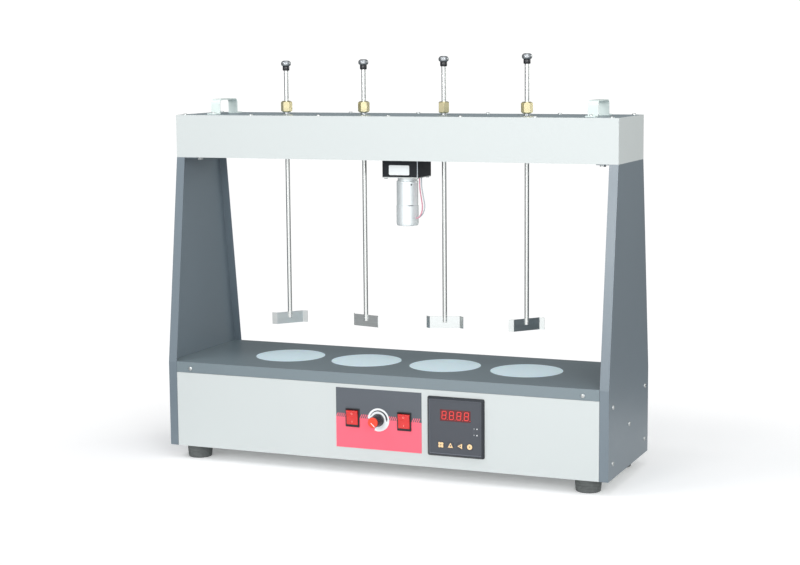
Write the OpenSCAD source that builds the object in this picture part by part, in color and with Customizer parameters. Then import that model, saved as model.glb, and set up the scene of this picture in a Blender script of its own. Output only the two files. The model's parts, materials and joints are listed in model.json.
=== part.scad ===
// Four-station jar tester (laboratory flocculator).
// Millimetres, +Z up. Origin: middle of the footprint, on the bench.
// The operator stands on the -Y side; the stations run along X.

/* [Cabinet] */
// Overall width of the base, the head and the two side panels
unit_w = 780; // [740:5:900]
// Depth of the base and of the lower part of the side panels
base_d = 240; // [220:5:300]
// Height of the rubber feet
foot_h = 23; // [15:1:35]
// Height of the base from its floor to the deck
base_h = 146; // [135:1:190]
// Height of the deck's folded front and rear lips
lip_h = 18; // [14:1:24]
// Free height between the deck and the head
work_h = 347; // [320:5:420]
// Thickness of all sheet metal
sheet = 1.5; // [1:0.1:2]
// Width of the flanges folded inward on the side panels
flange_w = 15; // [12:1:25]
// Length of the tabs on which the head stands
tab_l = 37; // [30:1:50]

/* [Head] */
// Depth of the head
head_d = 150; // [130:5:180]
// Height of the head
head_h = 72; // [66:1:90]
// Width of the seat on which the head's cover lies
seat_w = 14; // [12:1:20]
// Spacing of the cover screws
cover_screw_gap = 125.5; // [110:0.5:150]
// Width of the strip that each carrying handle is bent from
handle_w = 17; // [12:1:25]
// Height of the carrying handles
handle_h = 26; // [22:1:40]
// Distance between the outer faces of a handle's legs
handle_span = 65; // [50:1:90]
// Distance of each handle from the middle of the head
handle_x = 336; // [320:1:345]

/* [Gear train] */
// Module of the seven equal gears
gear_module = 3; // [2.9:0.05:3.1]
// Teeth on each gear, an even number
gear_teeth = 24; // [24:2:26]
// Face width of the gears
gear_w = 10; // [6:1:12]
// Play between the flanks of two gears in mesh
backlash = 0.5; // [0.4:0.05:0.8]
// Diameter of the spindles
spindle_d = 12; // [11:0.5:14]
// Height of the bearing housings above their flanges
housing_h = 15; // [12:1:18]
// Distance between the bolts of a housing, along X
housing_bolt_x = 48; // [44:1:52]
// Distance between the bolts of a housing, along Y
housing_bolt_y = 26; // [22:1:32]

/* [Stirrers] */
// Diameter of the stirrer rods
rod_d = 7.5; // [6:0.5:8.5]
// Height of a paddle's lower edge above the deck at station 1
paddle_z = 57.5; // [52:0.5:60]
// Distance from a paddle's lower edge to the top of its rod cap
stirrer_l = 452; // [448:1:460]
// Width of the flat middle of a paddle
paddle_w = 50; // [40:1:55]
// Height of a paddle
paddle_h = 20; // [16:1:26]
// Thickness of the paddle sheet
paddle_t = 1; // [0.8:0.1:1.5]
// Length of each bent paddle wing
wing_l = 9; // [6:0.5:10]
// Bend of the paddle wings
wing_bend = 52; // [20:1:70]
// Diameter of the rod caps
cap_d = 16.8; // [14:0.2:22]
// Height of the rod caps
cap_h = 9; // [8:0.2:12]
// Across-corners size of the collet nuts
nut_d = 19.5; // [18:0.5:24]
// Height of the collet nuts
nut_h = 19; // [16:1:24]
// Height of the neck that shows under a collet nut
neck_h = 3; // [2:0.5:6]

/* [Gear motor] */
// Width of the gearbox
gearbox_w = 64.5; // [58:0.5:68]
// Depth of the gearbox
gearbox_d = 60; // [54:1:66]
// Height of the gearbox
gearbox_h = 30; // [26:0.5:36]
// Wall of the gearbox case
gearbox_wall = 2.5; // [2:0.1:4]
// Diameter of the motor
motor_d = 36; // [32:1:42]
// Length of the motor, without its neck
motor_l = 75; // [60:1:90]
// Diameter of the output shaft
shaft_d = 8; // [6:0.5:9]
// Diameter of each motor lead
lead_d = 2.2; // [1.6:0.1:2.6]

/* [Deck and lamp] */
// Diameter of the light windows
window_d = 120; // [90:1:126]
// Diameter of the lamp tube
lamp_d = 16; // [12:1:26]
// Length of the lamp tube
lamp_l = 560; // [500:5:620]

/* [Controls] */
// Width of the control overlay
overlay_w = 152; // [148:1:158]
// Height of the control overlay
overlay_h = 100; // [90:1:108]
// Distance of each rocker switch from the middle of the overlay
switch_x = 46; // [44:0.5:50]
// Width of a switch bezel
bezel_w = 24; // [22.5:0.5:26]
// Height of a switch bezel
bezel_h = 30.5; // [29.5:0.5:34]
// Width of a rocker
rocker_w = 20; // [18:0.5:21]
// Height of a rocker
rocker_h = 23.6; // [21:0.2:24.6]
// Diameter of the speed knob
knob_d = 21; // [19:1:26]
// Distance that the speed knob stands out
knob_l = 25; // [22:1:27]
// Diameter of the knob's coloured cap
knob_cap_d = 17; // [12:1:17]
// Side of the square panel meter
meter_w = 96; // [92:1:100]
// Distance that the panel meter stands out
meter_out = 5; // [4:0.5:8]
// Depth of the panel meter behind the panel
meter_deep = 75; // [50:5:90]
// Diameter of the meter's keys
key_d = 11; // [8:0.5:13]
// Spacing of the meter's keys
key_gap = 16.5; // [14:0.5:18]

/* [Small parts] */
// Diameter of the screw heads
screw_head_d = 7; // [6:0.5:8]
// Diameter of the screws
screw_d = 4; // [3:0.5:4.5]
// Top diameter of a rubber foot
foot_d = 44; // [36:1:50]
// Bore of the cable gland
gland_bore_d = 7; // [6:0.5:8]

/* [Hidden] */
$fn = 64;

// Clearances
run_fit = 0.05;      // radial play of a shaft in its bore
seat_fit = 0.02;     // radial play of a piece pressed or clamped on another
part_gap = 0.3;      // between pieces on different bodies
panel_gap = 0.4;     // round a panel between its neighbours
hole_gap = 0.4;      // radial play of a screw in its hole

// Levels
floor_z = foot_h;
deck_z = floor_z + base_h;
lip_z = deck_z - lip_h;
head_z = deck_z + work_h;
top_z = head_z + head_h;
kink_z = deck_z - sheet;      // the side panels taper above this level

half_w = unit_w / 2;
half_base = base_d / 2;
half_head = head_d / 2;
between_flanges = half_w - flange_w - panel_gap;
panel_y = -half_base;         // front face of the base

// Stations, left to right; the gears touch at their pitch circles
gear_r = gear_module * gear_teeth / 2;
station_gap = 4 * gear_r;
function station_x(k) = (k - 2.5) * station_gap;
idler_x = [-station_gap, station_gap];

// Each operator sets the rods by hand, so no two stand alike
rod_lift = [0, 1.5, 6, 9.5];
paddle_turn = [52, -13, 20, 51];

// Gear train levels inside the head
housing_t = 4;
housing_z = head_z + sheet;
housing_top = housing_z + housing_t + housing_h;
collar_h = 3;
gear_z = housing_top + part_gap + collar_h;
spindle_r = spindle_d / 2;
collar_r = spindle_r + 3;
hub_r = spindle_r + 7;

// Collet
neck_top = top_z + neck_h;
stub_r = spindle_r - 1;
stub_h = nut_h * 0.45;
shoulder_z = top_z - 4;       // the spindle is thinner above this level
nut_turn = [22, 24, -8, 20];   // as each was last tightened

// Stirrers
rod_r = rod_d / 2;
rod_end = paddle_h / 2;       // the rod reaches the middle of its paddle
collar_l = 8;
collar_d = 11.6;
cap_grip = 4;
paddle_bolt_r = 1.2;
function paddle_low(k) = deck_z + paddle_z + rod_lift[k - 1];

// Gear motor, hung under the head; the motor sits beside the output shaft
gearbox_x = 4.8;
gearbox_y = 1;
motor_x = 6;
plate_t = 1.5;
plate_z = head_z - gearbox_h - plate_t;
neck_l = 6;
motor_top = plate_z - neck_l;
motor_low = motor_top - motor_l;
motor_r = motor_d / 2;
shaft_r = shaft_d / 2;

// Control panel
overlay_t = 0.5;
overlay_x = 1;
overlay_z = floor_z + 71.4;
overlay_y = panel_y - overlay_t;
switch_z = overlay_z + 1.8;   // middle of the rockers
bezel_drop = 1;               // of the bezels below the rockers
bezel_t = 2.2;
bezel_y = overlay_y - bezel_t;
switch_wall = 0.8;
switch_gap = 0.2;             // beside a rocker
switch_deep = 20;
rocker_open_h = rocker_h + 1.8;
rocker_y = bezel_y + 4;       // pivot of the rockers
rocker_tilt = 6;
pin_r = 1.2;
knob_y = overlay_y - 0.7;
knob_bore_r = 3;
bush_r = 4.5;
meter_x = 136.7;
meter_z = floor_z + 69.3;
meter_face_in = 1.2;          // the meter's face lies behind its rim
meter_body_w = meter_w - 6;
function key_x(k) = meter_x + (k - 2.5) * key_gap;
key_z = meter_z - 29.8;
key_out = 0.6;
key_deep = 2;

// Feet and fasteners
foot_x = half_w - 41;
foot_y = half_base - 30;
head_screw_h = 2.2;
screw_l = 6;
lip_screw_x = half_w - 42;
lip_screw_z = deck_z - 11;
side_screw_y = half_base - 23;
side_screw_low = floor_z + 25;
side_screw_high = floor_z + 115;
side_screw_mid = floor_z + 69.5;
tab_bolt_x = half_w - 32;
tab_bolt_y = half_head - 25;
bolt_r = 2.5;
bolt_head_r = 5.2;
bolt_head_h = 3.6;
cover_screw_y = half_head - 9;
cover_screw_n = floor((half_w - 8) / cover_screw_gap);
cover_screw_x = [for (i = [-cover_screw_n:cover_screw_n]) i * cover_screw_gap];

// Cable gland on the rear wall
gland_x = -half_w + 90;
gland_z = floor_z + 34;
gland_out = 22;
gland_r = gland_bore_d / 2;

// Motor leads: hand-chosen routes from the motor's side up to the gearbox
lead_red = [[23, -5, 416], [27.5, -5, 417.5], [31.5, -5, 422], [34, -5, 428.5],
            [34.5, -4.5, 437], [33, -4, 447], [31, -3.5, 458], [29.5, -3, 469],
            [29, -2.5, 478], [29, -2.5, 484.9]];
lead_grey = [[23, -1, 416], [28, -1, 418], [33, -1, 422.5], [36.5, -1.5, 429.5],
             [37.5, -1.5, 438], [36, -1.5, 448], [34, -1, 458], [32, -0.5, 468],
             [31.5, 0, 477], [31.5, 0, 484.9]];

// ---------- helpers ----------

module along_y(from, to) {
    translate([0, to, 0]) rotate([90, 0, 0]) linear_extrude(to - from) children();
}

module slab(x0, x1, y0, y1, z0, z1) {
    translate([x0, y0, z0]) cube([x1 - x0, y1 - y0, z1 - z0]);
}

module rod(r, z0, z1) {
    translate([0, 0, z0]) cylinder(r = r, h = z1 - z0);
}

// A cylinder along Y, from y0 to y1
module rod_y(r, y0, y1) {
    translate([0, y1, 0]) rotate([90, 0, 0]) cylinder(r = r, h = y1 - y0);
}

// A rectangle with round corners, centred, made of true arcs
module round_rect(w, h, r) {
    square([w, h - 2 * r], center = true);
    square([w - 2 * r, h], center = true);
    for (sx = [-1, 1], sy = [-1, 1])
        translate([sx * (w / 2 - r), sy * (h / 2 - r)]) circle(r);
}

// Pan-head screw standing on z = 0, its thread downward
module screw(len = screw_l) {
    rod(screw_head_d / 2, 0, head_screw_h * 0.55);
    translate([0, 0, head_screw_h * 0.55])
        cylinder(r1 = screw_head_d / 2, r2 = screw_head_d / 2 - 1.3, h = head_screw_h * 0.45);
    rod(screw_d / 2, -len, 0.01);
}

module screw_hole(depth = 12) {
    rod(screw_d / 2 + hole_gap, -depth, depth);
}

// Puts its children at each screw of one kind, z along the screw's axis
module at_cover_screws() {
    for (x = cover_screw_x, sy = [-1, 1]) translate([x, sy * cover_screw_y, top_z]) children();
}

module at_handle_screws() {
    for (sx = [-1, 1], sy = [-1, 1])
        translate([sx * handle_x, sy * (handle_span / 2 + 8), top_z + 2]) children();
}

module at_lip_screws() {
    for (sx = [-1, 1], sy = [-1, 1])
        translate([sx * lip_screw_x, sy * half_base, lip_screw_z])
            rotate([sy * -90, 0, 0]) children();
}

module at_side_screws() {
    spots = [[-side_screw_y, side_screw_low], [side_screw_y, side_screw_low],
             [-side_screw_y, side_screw_high], [side_screw_y, side_screw_high],
             [0, side_screw_mid]];
    for (sx = [-1, 1], p = spots)
        translate([sx * half_w, p[0], p[1]]) rotate([0, sx * 90, 0]) children();
}

module at_housings(xs) {
    for (x = xs) translate([x, 0, 0]) children();
}

station_xs = [for (k = [1:4]) station_x(k)];

module at_housing_bolts() {
    for (x = concat(station_xs, idler_x), sx = [-1, 1], sy = [-1, 1])
        translate([x + sx * housing_bolt_x / 2, sy * housing_bolt_y / 2, 0]) children();
}

module at_tab_bolts() {
    for (sx = [-1, 1], sy = [-1, 1])
        translate([sx * tab_bolt_x, sy * tab_bolt_y, 0]) children();
}

// ---------- cabinet ----------

// Floor, rear wall and side walls of the base, folded from one sheet
module base_tray() {
    side_y = half_base - 12;
    color("lightgray") difference() {
        union() {
            slab(-half_w + sheet + panel_gap, half_w - sheet - panel_gap,
                 -half_base + sheet + panel_gap, half_base - sheet - panel_gap,
                 floor_z, floor_z + sheet);
            slab(-between_flanges, between_flanges, half_base - sheet, half_base,
                 floor_z, lip_z - panel_gap);
            slab(-between_flanges, between_flanges, half_base - 2 * sheet - panel_gap,
                 half_base - sheet + 0.01, floor_z, floor_z + sheet);
            lip_backing(1);
            for (s = [-1, 1])
                translate([s * (half_w - 1.5 * sheet - panel_gap), 0, floor_z + 62])
                    cube([sheet, 2 * side_y, 124], center = true);
        }
        at_lip_screws() screw_hole();
        at_side_screws() screw_hole();
        translate([gland_x, 0, gland_z]) rod_y(gland_r + 3.2, half_base - 10, half_base + 10);
        for (sx = [-1, 1], sy = [-1, 1])
            translate([sx * foot_x, sy * foot_y, floor_z]) screw_hole();
    }
}

// The strip behind a lip of the deck, joggled inward; s is -1 in front, 1 behind
module lip_backing(s) {
    inner = half_base - 2 * sheet - panel_gap;
    translate([0, s * (half_base + inner) / 2, lip_z - panel_gap - sheet / 2])
        cube([2 * between_flanges, half_base - inner, sheet], center = true);
    translate([0, s * (inner + sheet / 2), (lip_z + deck_z - 2 * sheet) / 2 - 1])
        cube([2 * between_flanges, sheet, lip_h - 2 * sheet + 1], center = true);
}

module front_panel() {
    color("gainsboro") difference() {
        union() {
            slab(-between_flanges, between_flanges, panel_y, panel_y + sheet,
                 floor_z, lip_z - panel_gap);
            lip_backing(-1);
        }
        at_lip_screws() screw_hole();
        panel_openings();
    }
}

// Openings for what is mounted in the control panel
module panel_openings() {
    for (s = [-1, 1])
        translate([overlay_x + s * switch_x, 0, switch_z])
            along_y(panel_y - 2, panel_y + 4)
                square([rocker_w + 2 * (switch_gap + switch_wall + panel_gap / 2),
                        rocker_open_h + 2 * switch_wall + panel_gap], center = true);
    translate([overlay_x, 0, overlay_z]) rod_y(bush_r + panel_gap, panel_y - 2, panel_y + 4);
    translate([meter_x, 0, meter_z]) along_y(panel_y - 2, panel_y + 4)
        square(meter_body_w + panel_gap, center = true);
}

module deck_cover() {
    wide = half_w - sheet - panel_gap;
    deep = half_base - sheet - panel_gap;
    color("slategray") difference() {
        union() {
            slab(-wide, wide, -deep, deep, deck_z - sheet, deck_z);
            slab(-between_flanges, between_flanges, -half_base, half_base,
                 deck_z - sheet, deck_z);
            for (s = [-1, 1])
                translate([0, s * (half_base - sheet / 2), deck_z - lip_h / 2])
                    cube([2 * between_flanges, sheet, lip_h], center = true);
        }
        for (x = station_xs) translate([x, 0, 0])
            rod(window_d / 2 + panel_gap / 2, deck_z - 5, deck_z + 5);
        at_lip_screws() screw_hole();
    }
}

// Outline of a side panel in the YZ plane, drawn inward by inset at its sloping edges
function side_outline(inset, over) =
    let (lean = atan((base_d - head_d) / 2 / (head_z - kink_z)),
         slope_inset = inset / cos(lean),
         low = half_base - inset,
         high = half_head - slope_inset)
    [[-low, floor_z - over], [low, floor_z - over], [low, kink_z], [high, head_z + over],
     [-high, head_z + over], [-low, kink_z]];

// Drawn for the right-hand end; its flanges and tab point inward
module side_panel() {
    color("dimgray") difference() {
        union() {
            translate([half_w - sheet, 0, 0]) rotate([90, 0, 90])
                linear_extrude(sheet) polygon(side_outline(0, 0));
            translate([half_w - flange_w, 0, 0]) rotate([90, 0, 90])
                linear_extrude(flange_w) difference() {
                    polygon(side_outline(0, 0));
                    polygon(side_outline(sheet, 1));
                }
            slab(half_w - tab_l, half_w, -half_head + 3, half_head - 3, head_z - sheet, head_z);
        }
        at_side_screws() screw_hole();
        at_tab_bolts() rod(bolt_r + hole_gap, head_z - 10, head_z + 10);
    }
}

module side_panel_right() {
    side_panel();
}

module side_panel_left() {
    mirror([1, 0, 0]) side_panel();
}

module light_windows() {
    color("lightsteelblue") for (x = station_xs) translate([x, 0, 0]) {
        rod(window_d / 2, deck_z - sheet, deck_z);
        rod(window_d / 2 + 4, deck_z - sheet - 3, deck_z - sheet);
    }
}

lamp_z = deck_z - 52;

module lamp_tube() {
    color("white") translate([-lamp_l / 2, 0, lamp_z]) rotate([0, 90, 0])
        cylinder(d = lamp_d, h = lamp_l);
    color("silver") for (s = [-1, 1], sy = [-1, 1])
        translate([s * lamp_l / 2, sy * 2.5, lamp_z]) rotate([0, s * 90, 0])
            cylinder(d = 2, h = 5);
}

// Sockets at both ends of the lamp, on posts that stand on the floor of the base
module lamp_holders() {
    socket = lamp_d + 8;
    color("white") for (s = [-1, 1]) difference() {
        union() {
            translate([s * (lamp_l / 2 + 4.5), 0, lamp_z]) cube([8, socket, socket], center = true);
            translate([s * (lamp_l / 2 + 6), 0, (floor_z + sheet + lamp_z) / 2])
                cube([5, 14, lamp_z - floor_z - sheet], center = true);
        }
        for (sy = [-1, 1]) translate([s * lamp_l / 2 - 10, sy * 2.5, lamp_z])
            rotate([0, 90, 0]) cylinder(r = 1 + run_fit, h = 20);
    }
}

module rubber_feet() {
    color("dimgray") for (sx = [-1, 1], sy = [-1, 1])
        translate([sx * foot_x, sy * foot_y, 0]) {
            cylinder(d1 = foot_d - 4, d2 = foot_d, h = foot_h);
            rod(screw_d / 2, foot_h, foot_h + sheet + 3);
        }
}

// ---------- head ----------

module head_shell() {
    seat_z = top_z - 2 * sheet;
    color("gainsboro") difference() {
        union() {
            difference() {
                slab(-half_w, half_w, -half_head, half_head, head_z, top_z);
                slab(-half_w + sheet, half_w - sheet, -half_head + sheet, half_head - sheet,
                     head_z + sheet, top_z + 1);
            }
            for (s = [-1, 1])
                translate([0, s * (half_head - seat_w / 2), seat_z + sheet / 2])
                    cube([unit_w, seat_w, sheet], center = true);
        }
        at_housings(station_xs) rod(spindle_r + 1, head_z - 5, head_z + 5);
        rod(shaft_r + 4, head_z - 5, head_z + 5);
        at_housing_bolts() rod(bolt_r + hole_gap, head_z - 5, head_z + 5);
        at_tab_bolts() rod(bolt_r + hole_gap, head_z - 5, head_z + 5);
        at_cover_screws() screw_hole();
    }
}

module head_cover() {
    color("slategray") difference() {
        slab(-half_w + sheet + panel_gap, half_w - sheet - panel_gap,
             -half_head + sheet + panel_gap, half_head - sheet - panel_gap,
             top_z - sheet, top_z);
        at_housings(station_xs) rod(stub_r + 1, top_z - 5, top_z + 5);
        at_cover_screws() screw_hole();
        at_handle_screws() screw_hole();
    }
}

// Side view of a carrying handle: two feet, two legs and a round-cornered top
module handle_outline() {
    strip = 2;
    bend = 8;
    half = handle_span / 2;
    difference() {
        union() {
            translate([-half, 0]) square([handle_span, handle_h - bend]);
            translate([-half + bend, 0]) square([handle_span - 2 * bend, handle_h]);
            for (s = [-1, 1]) translate([s * (half - bend), handle_h - bend]) circle(bend);
            translate([-half - 15, 0]) square([handle_span + 30, strip]);
        }
        translate([-half + strip, -1])
            square([handle_span - 2 * strip, handle_h - bend + 1]);
        translate([-half + bend, -1])
            square([handle_span - 2 * bend, handle_h - strip + 1]);
        for (s = [-1, 1]) translate([s * (half - bend), handle_h - bend]) circle(bend - strip);
    }
}

module carry_handles() {
    color("honeydew") difference() {
        for (s = [-1, 1]) translate([s * handle_x - handle_w / 2, 0, top_z])
            rotate([90, 0, 90]) linear_extrude(handle_w) handle_outline();
        at_handle_screws() screw_hole();
    }
}

// ---------- gear train ----------

function involute_angle(r, base) = r <= base ? 0 :
    let (a = acos(base / r)) tan(a) * 180 / PI - a;

// Outline of a spur gear with involute flanks and a tooth on the +X axis
function gear_outline() =
    let (pressure = 20,
         base = gear_r * cos(pressure),
         root = gear_r - 1.25 * gear_module,
         tip = gear_r + 0.95 * gear_module,
         half_tooth = 90 / gear_teeth - backlash / 4 / gear_r * 180 / PI
                      + involute_angle(gear_r, base),
         radii = [root, base, gear_r - 0.3 * gear_module, gear_r + 0.3 * gear_module, tip],
         n = len(radii) - 1)
    [for (i = [0:gear_teeth - 1], side = [-1, 1], j = [0:n])
        let (r = side < 0 ? radii[j] : radii[n - j],
             a = i * 360 / gear_teeth + side * (half_tooth - involute_angle(r, base)))
        r * [cos(a), sin(a)]];

module gear(bore_r, half_pitch) {
    difference() {
        union() {
            translate([0, 0, gear_z]) rotate([0, 0, half_pitch * 180 / gear_teeth])
                linear_extrude(gear_w) polygon(gear_outline());
            rod(hub_r, gear_z, gear_z + gear_w + 5);
        }
        rod(bore_r, gear_z - 1, gear_z + gear_w + 6);
    }
}

// The flange that carries a spindle or an idler on the floor of the head
module housing_base() {
    translate([0, 0, housing_z]) linear_extrude(housing_t)
        round_rect(housing_bolt_x + 14, housing_bolt_y + 14, 5);
}

module housing_holes() {
    for (sx = [-1, 1], sy = [-1, 1])
        translate([sx * housing_bolt_x / 2, sy * housing_bolt_y / 2, 0])
            rod(bolt_r + hole_gap, housing_z - 1, housing_z + housing_t + 1);
}

module bearing_housings() {
    color("darkgray") at_housings(station_xs) difference() {
        union() {
            housing_base();
            rod(spindle_r + 9, housing_z, housing_top);
        }
        rod(spindle_r + run_fit, housing_z - 1, housing_top + 1);
        housing_holes();
    }
}

module idler_studs() {
    color("silver") at_housings(idler_x) difference() {
        union() {
            housing_base();
            rod(collar_r, housing_z, gear_z - part_gap);
            rod(spindle_r, housing_z, gear_z + gear_w + 6);
            rod(collar_r - 1, gear_z + gear_w + 5 + part_gap, gear_z + gear_w + 8);
        }
        housing_holes();
    }
}

module housing_bolts() {
    color("silver") {
        at_housing_bolts() {
            translate([0, 0, head_z - bolt_head_h]) cylinder(r = bolt_head_r, h = bolt_head_h, $fn = 6);
            rod(bolt_r, head_z - 1, housing_z + housing_t);
            translate([0, 0, housing_z + housing_t]) cylinder(r = bolt_head_r - 0.7, h = 4, $fn = 6);
        }
        at_tab_bolts() {
            translate([0, 0, head_z - sheet - bolt_head_h])
                cylinder(r = bolt_head_r, h = bolt_head_h, $fn = 6);
            rod(bolt_r, head_z - sheet - 1, head_z + sheet);
            translate([0, 0, head_z + sheet]) cylinder(r = bolt_head_r - 0.7, h = 4, $fn = 6);
        }
    }
}

module drive_gear() {
    color("white") gear(shaft_r + seat_fit, 0);
}

module output_shaft() {
    color("silver") {
        rod(shaft_r, plate_z + plate_t + 4, gear_z + gear_w + 7);
        rod(shaft_r + 3, plate_z + plate_t + 6, plate_z + plate_t + 12);
    }
}

module idler_gear(k) {
    color("white") translate([idler_x[k - 1], 0, 0]) gear(spindle_r + run_fit, 0);
}

module spindle_gear(k) {
    color("white") translate([station_x(k), 0, 0]) gear(spindle_r + seat_fit, 1);
}

// Hollow spindle with a collar on its bearing and a stub for the collet nut
module spindle(k) {
    color("silver") translate([station_x(k), 0, 0]) difference() {
        union() {
            rod(spindle_r, head_z, shoulder_z);
            rod(collar_r, housing_top + part_gap, gear_z);
            rod(stub_r, shoulder_z - 1, neck_top + stub_h);
        }
        rod(rod_r + run_fit, head_z - 1, neck_top + stub_h + 1);
    }
}

// Hexagonal brass nut with a deep chamfer at both ends
module collet_nut(k) {
    low = neck_top + part_gap;
    r = nut_d / 2;
    chamfer_in = 3;
    chamfer_h = 2.4;
    color("goldenrod") translate([station_x(k), 0, low]) rotate([0, 0, nut_turn[k - 1]])
        difference() {
            intersection() {
                cylinder(r = r, h = nut_h, $fn = 6);
                rotate_extrude() polygon([[0, 0], [r - chamfer_in, 0], [r, chamfer_h],
                    [r, nut_h - chamfer_h], [r - chamfer_in, nut_h], [0, nut_h]]);
            }
            rod(stub_r + run_fit, -1, stub_h + part_gap);
            rod(rod_r + part_gap, 0, nut_h + 1);
        }
}

// ---------- stirrers ----------

module at_stirrer(k) {
    translate([station_x(k), 0, paddle_low(k)]) rotate([0, 0, paddle_turn[k - 1]]) children();
}

module paddle_bolt(r, len) {
    translate([0, 0, paddle_h * 0.75]) rotate([90, 0, 0]) cylinder(r = r, h = len, center = true);
}

module stirrer_rod(k) {
    top = stirrer_l - cap_h + cap_grip;
    color("silver") at_stirrer(k) difference() {
        rod(rod_r, rod_end, top);
        translate([0, 0, rod_end + paddle_h / 4])
            cube([rod_d + 2, paddle_t + 2 * seat_fit, paddle_h / 2 + 2 * seat_fit], center = true);
        paddle_bolt(paddle_bolt_r + seat_fit, rod_d + 2);
    }
}

// Plan of a paddle: a flat strip whose two ends are bent the same way round
function paddle_outline() =
    let (h = paddle_t / 2,
         mitre = h * tan(wing_bend / 2),
         along = [cos(wing_bend), -sin(wing_bend)],
         across = h * [sin(wing_bend), cos(wing_bend)],
         tip = [paddle_w / 2, 0] + wing_l * along,
         half = [[paddle_w / 2 - mitre, -h], tip - across, tip + across,
                 [paddle_w / 2 + mitre, h]])
    concat(half, [for (p = half) -p]);

// The bent blade and its small bolt
module paddle(k) {
    color("silver") at_stirrer(k) {
        difference() {
            linear_extrude(paddle_h) polygon(paddle_outline());
            paddle_bolt(paddle_bolt_r + seat_fit, rod_d + 2);
        }
        paddle_bolt(paddle_bolt_r, rod_d + 1.6);
    }
}

// Plated cap over a black collar, both on the end of the rod
module rod_cap(k) {
    low = stirrer_l - cap_h;
    r = cap_d / 2;
    at_stirrer(k) {
        color("dimgray") difference() {
            rod(collar_d / 2, low - collar_l, low);
            rod(rod_r + seat_fit, low - collar_l - 1, low + 1);
        }
        color("silver") difference() {
            translate([0, 0, low]) rotate_extrude()
                polygon([[0, 0], [r - 2, 0], [r - 0.3, 1.8], [r, 3], [r, cap_h - 4.2],
                         [r - 0.8, cap_h - 2.4], [r - 2.4, cap_h - 0.8], [r - 3.2, cap_h],
                         [0, cap_h]]);
            rod(rod_r + seat_fit, low - 1, low + cap_grip);
        }
    }
}

// ---------- gear motor ----------

module at_gearbox_screws() {
    for (sx = [-1, 1], sy = [-1, 1])
        translate([gearbox_x + sx * (gearbox_w / 2 - 5), gearbox_y + sy * (gearbox_d / 2 - 5), 0])
            children();
}

module gearbox_case() {
    low = plate_z + plate_t;
    color("darkslategray") difference() {
        translate([gearbox_x, gearbox_y, low]) linear_extrude(gearbox_h)
            round_rect(gearbox_w, gearbox_d, 2);
        difference() {
            translate([gearbox_x, gearbox_y, low - 1])
                linear_extrude(gearbox_h - gearbox_wall - 4)
                    square([gearbox_w - 2 * gearbox_wall, gearbox_d - 2 * gearbox_wall],
                           center = true);
            at_gearbox_screws() rod(4, low - 2, head_z);
        }
        rod(shaft_r + run_fit, low, head_z + 1);
        at_gearbox_screws() rod(1.6 + seat_fit, low - 1, low + 12);
    }
}

// Plate that closes the gearbox, with its four screws
module gearbox_plate() {
    color("silver") {
        difference() {
            translate([gearbox_x, gearbox_y, plate_z]) linear_extrude(plate_t)
                round_rect(gearbox_w, gearbox_d, 2);
            at_gearbox_screws() rod(1.6 + hole_gap, plate_z - 1, plate_z + plate_t + 1);
        }
        at_gearbox_screws() {
            translate([0, 0, plate_z - 2]) cylinder(r1 = 2.4, r2 = 3.2, h = 2);
            rod(1.6, plate_z - 0.01, plate_z + plate_t + 10);
        }
    }
}

module motor_can() {
    ring_l = motor_l * 0.45;
    color("lightgray") translate([motor_x, 0, 0]) difference() {
        union() {
            translate([0, 0, motor_low]) cylinder(r1 = motor_r - 1.5, r2 = motor_r, h = 1.5);
            rod(motor_r, motor_low + 1.5, motor_top - 1);
            translate([0, 0, motor_top - 1]) cylinder(r1 = motor_r, r2 = motor_r - 1, h = 1);
            rod(motor_r + 0.5, motor_low + 3, motor_low + ring_l);
            rod(motor_r - 2, motor_top - 0.01, plate_z);
        }
        rod(5, motor_low - 1, motor_low + 1);
    }
}

// A tube of 8 sides along a list of points
module lead(route, d) {
    sides = 8;
    n = len(route);
    function unit(v) = v / norm(v);
    function heading(i) = unit(route[min(i + 1, n - 1)] - route[max(i - 1, 0)]);
    points = [for (i = [0:n - 1]) let (t = heading(i), u = unit(cross([0, 1, 0], t)), w = cross(t, u))
        for (j = [0:sides - 1]) route[i] + d / 2 * (cos(j * 360 / sides) * u + sin(j * 360 / sides) * w)];
    ends = [[for (j = [sides - 1:-1:0]) j], [for (j = [0:sides - 1]) (n - 1) * sides + j]];
    walls = [for (i = [0:n - 2], j = [0:sides - 1]) let (a = i * sides + j, b = i * sides + (j + 1) % sides)
        each [[a, b, b + sides], [a, b + sides, a + sides]]];
    polyhedron(points, concat(ends, walls));
}

module motor_leads() {
    color("indianred") lead(lead_red, lead_d);
    color("gray") lead(lead_grey, lead_d);
}

// ---------- controls ----------

module control_overlay() {
    color("palevioletred") difference() {
        translate([overlay_x, 0, overlay_z]) along_y(overlay_y, panel_y)
            square([overlay_w, overlay_h], center = true);
        panel_openings();
    }
}

module at_switch(s) {
    translate([overlay_x + s * switch_x, 0, switch_z]) children();
}

module switch_housings() {
    open_w = rocker_w + 2 * switch_gap;
    color("darkslategray") for (s = [-1, 1]) at_switch(s) difference() {
        union() {
            translate([0, 0, -bezel_drop])
                along_y(bezel_y, overlay_y) square([bezel_w, bezel_h], center = true);
            along_y(overlay_y - 0.01, panel_y + switch_deep)
                square([open_w + 2 * switch_wall, rocker_open_h + 2 * switch_wall], center = true);
            for (z = [-8, 0, 8]) translate([0, panel_y + switch_deep + 4, z])
                cube([6, 8.02, 0.8], center = true);
        }
        along_y(bezel_y - 1, panel_y + switch_deep - 2)
            square([open_w, rocker_open_h], center = true);
        translate([0, rocker_y, 0]) rotate([0, 90, 0])
            cylinder(r = pin_r + run_fit, h = open_w + 2 * switch_wall + 2, center = true);
    }
}

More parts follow.
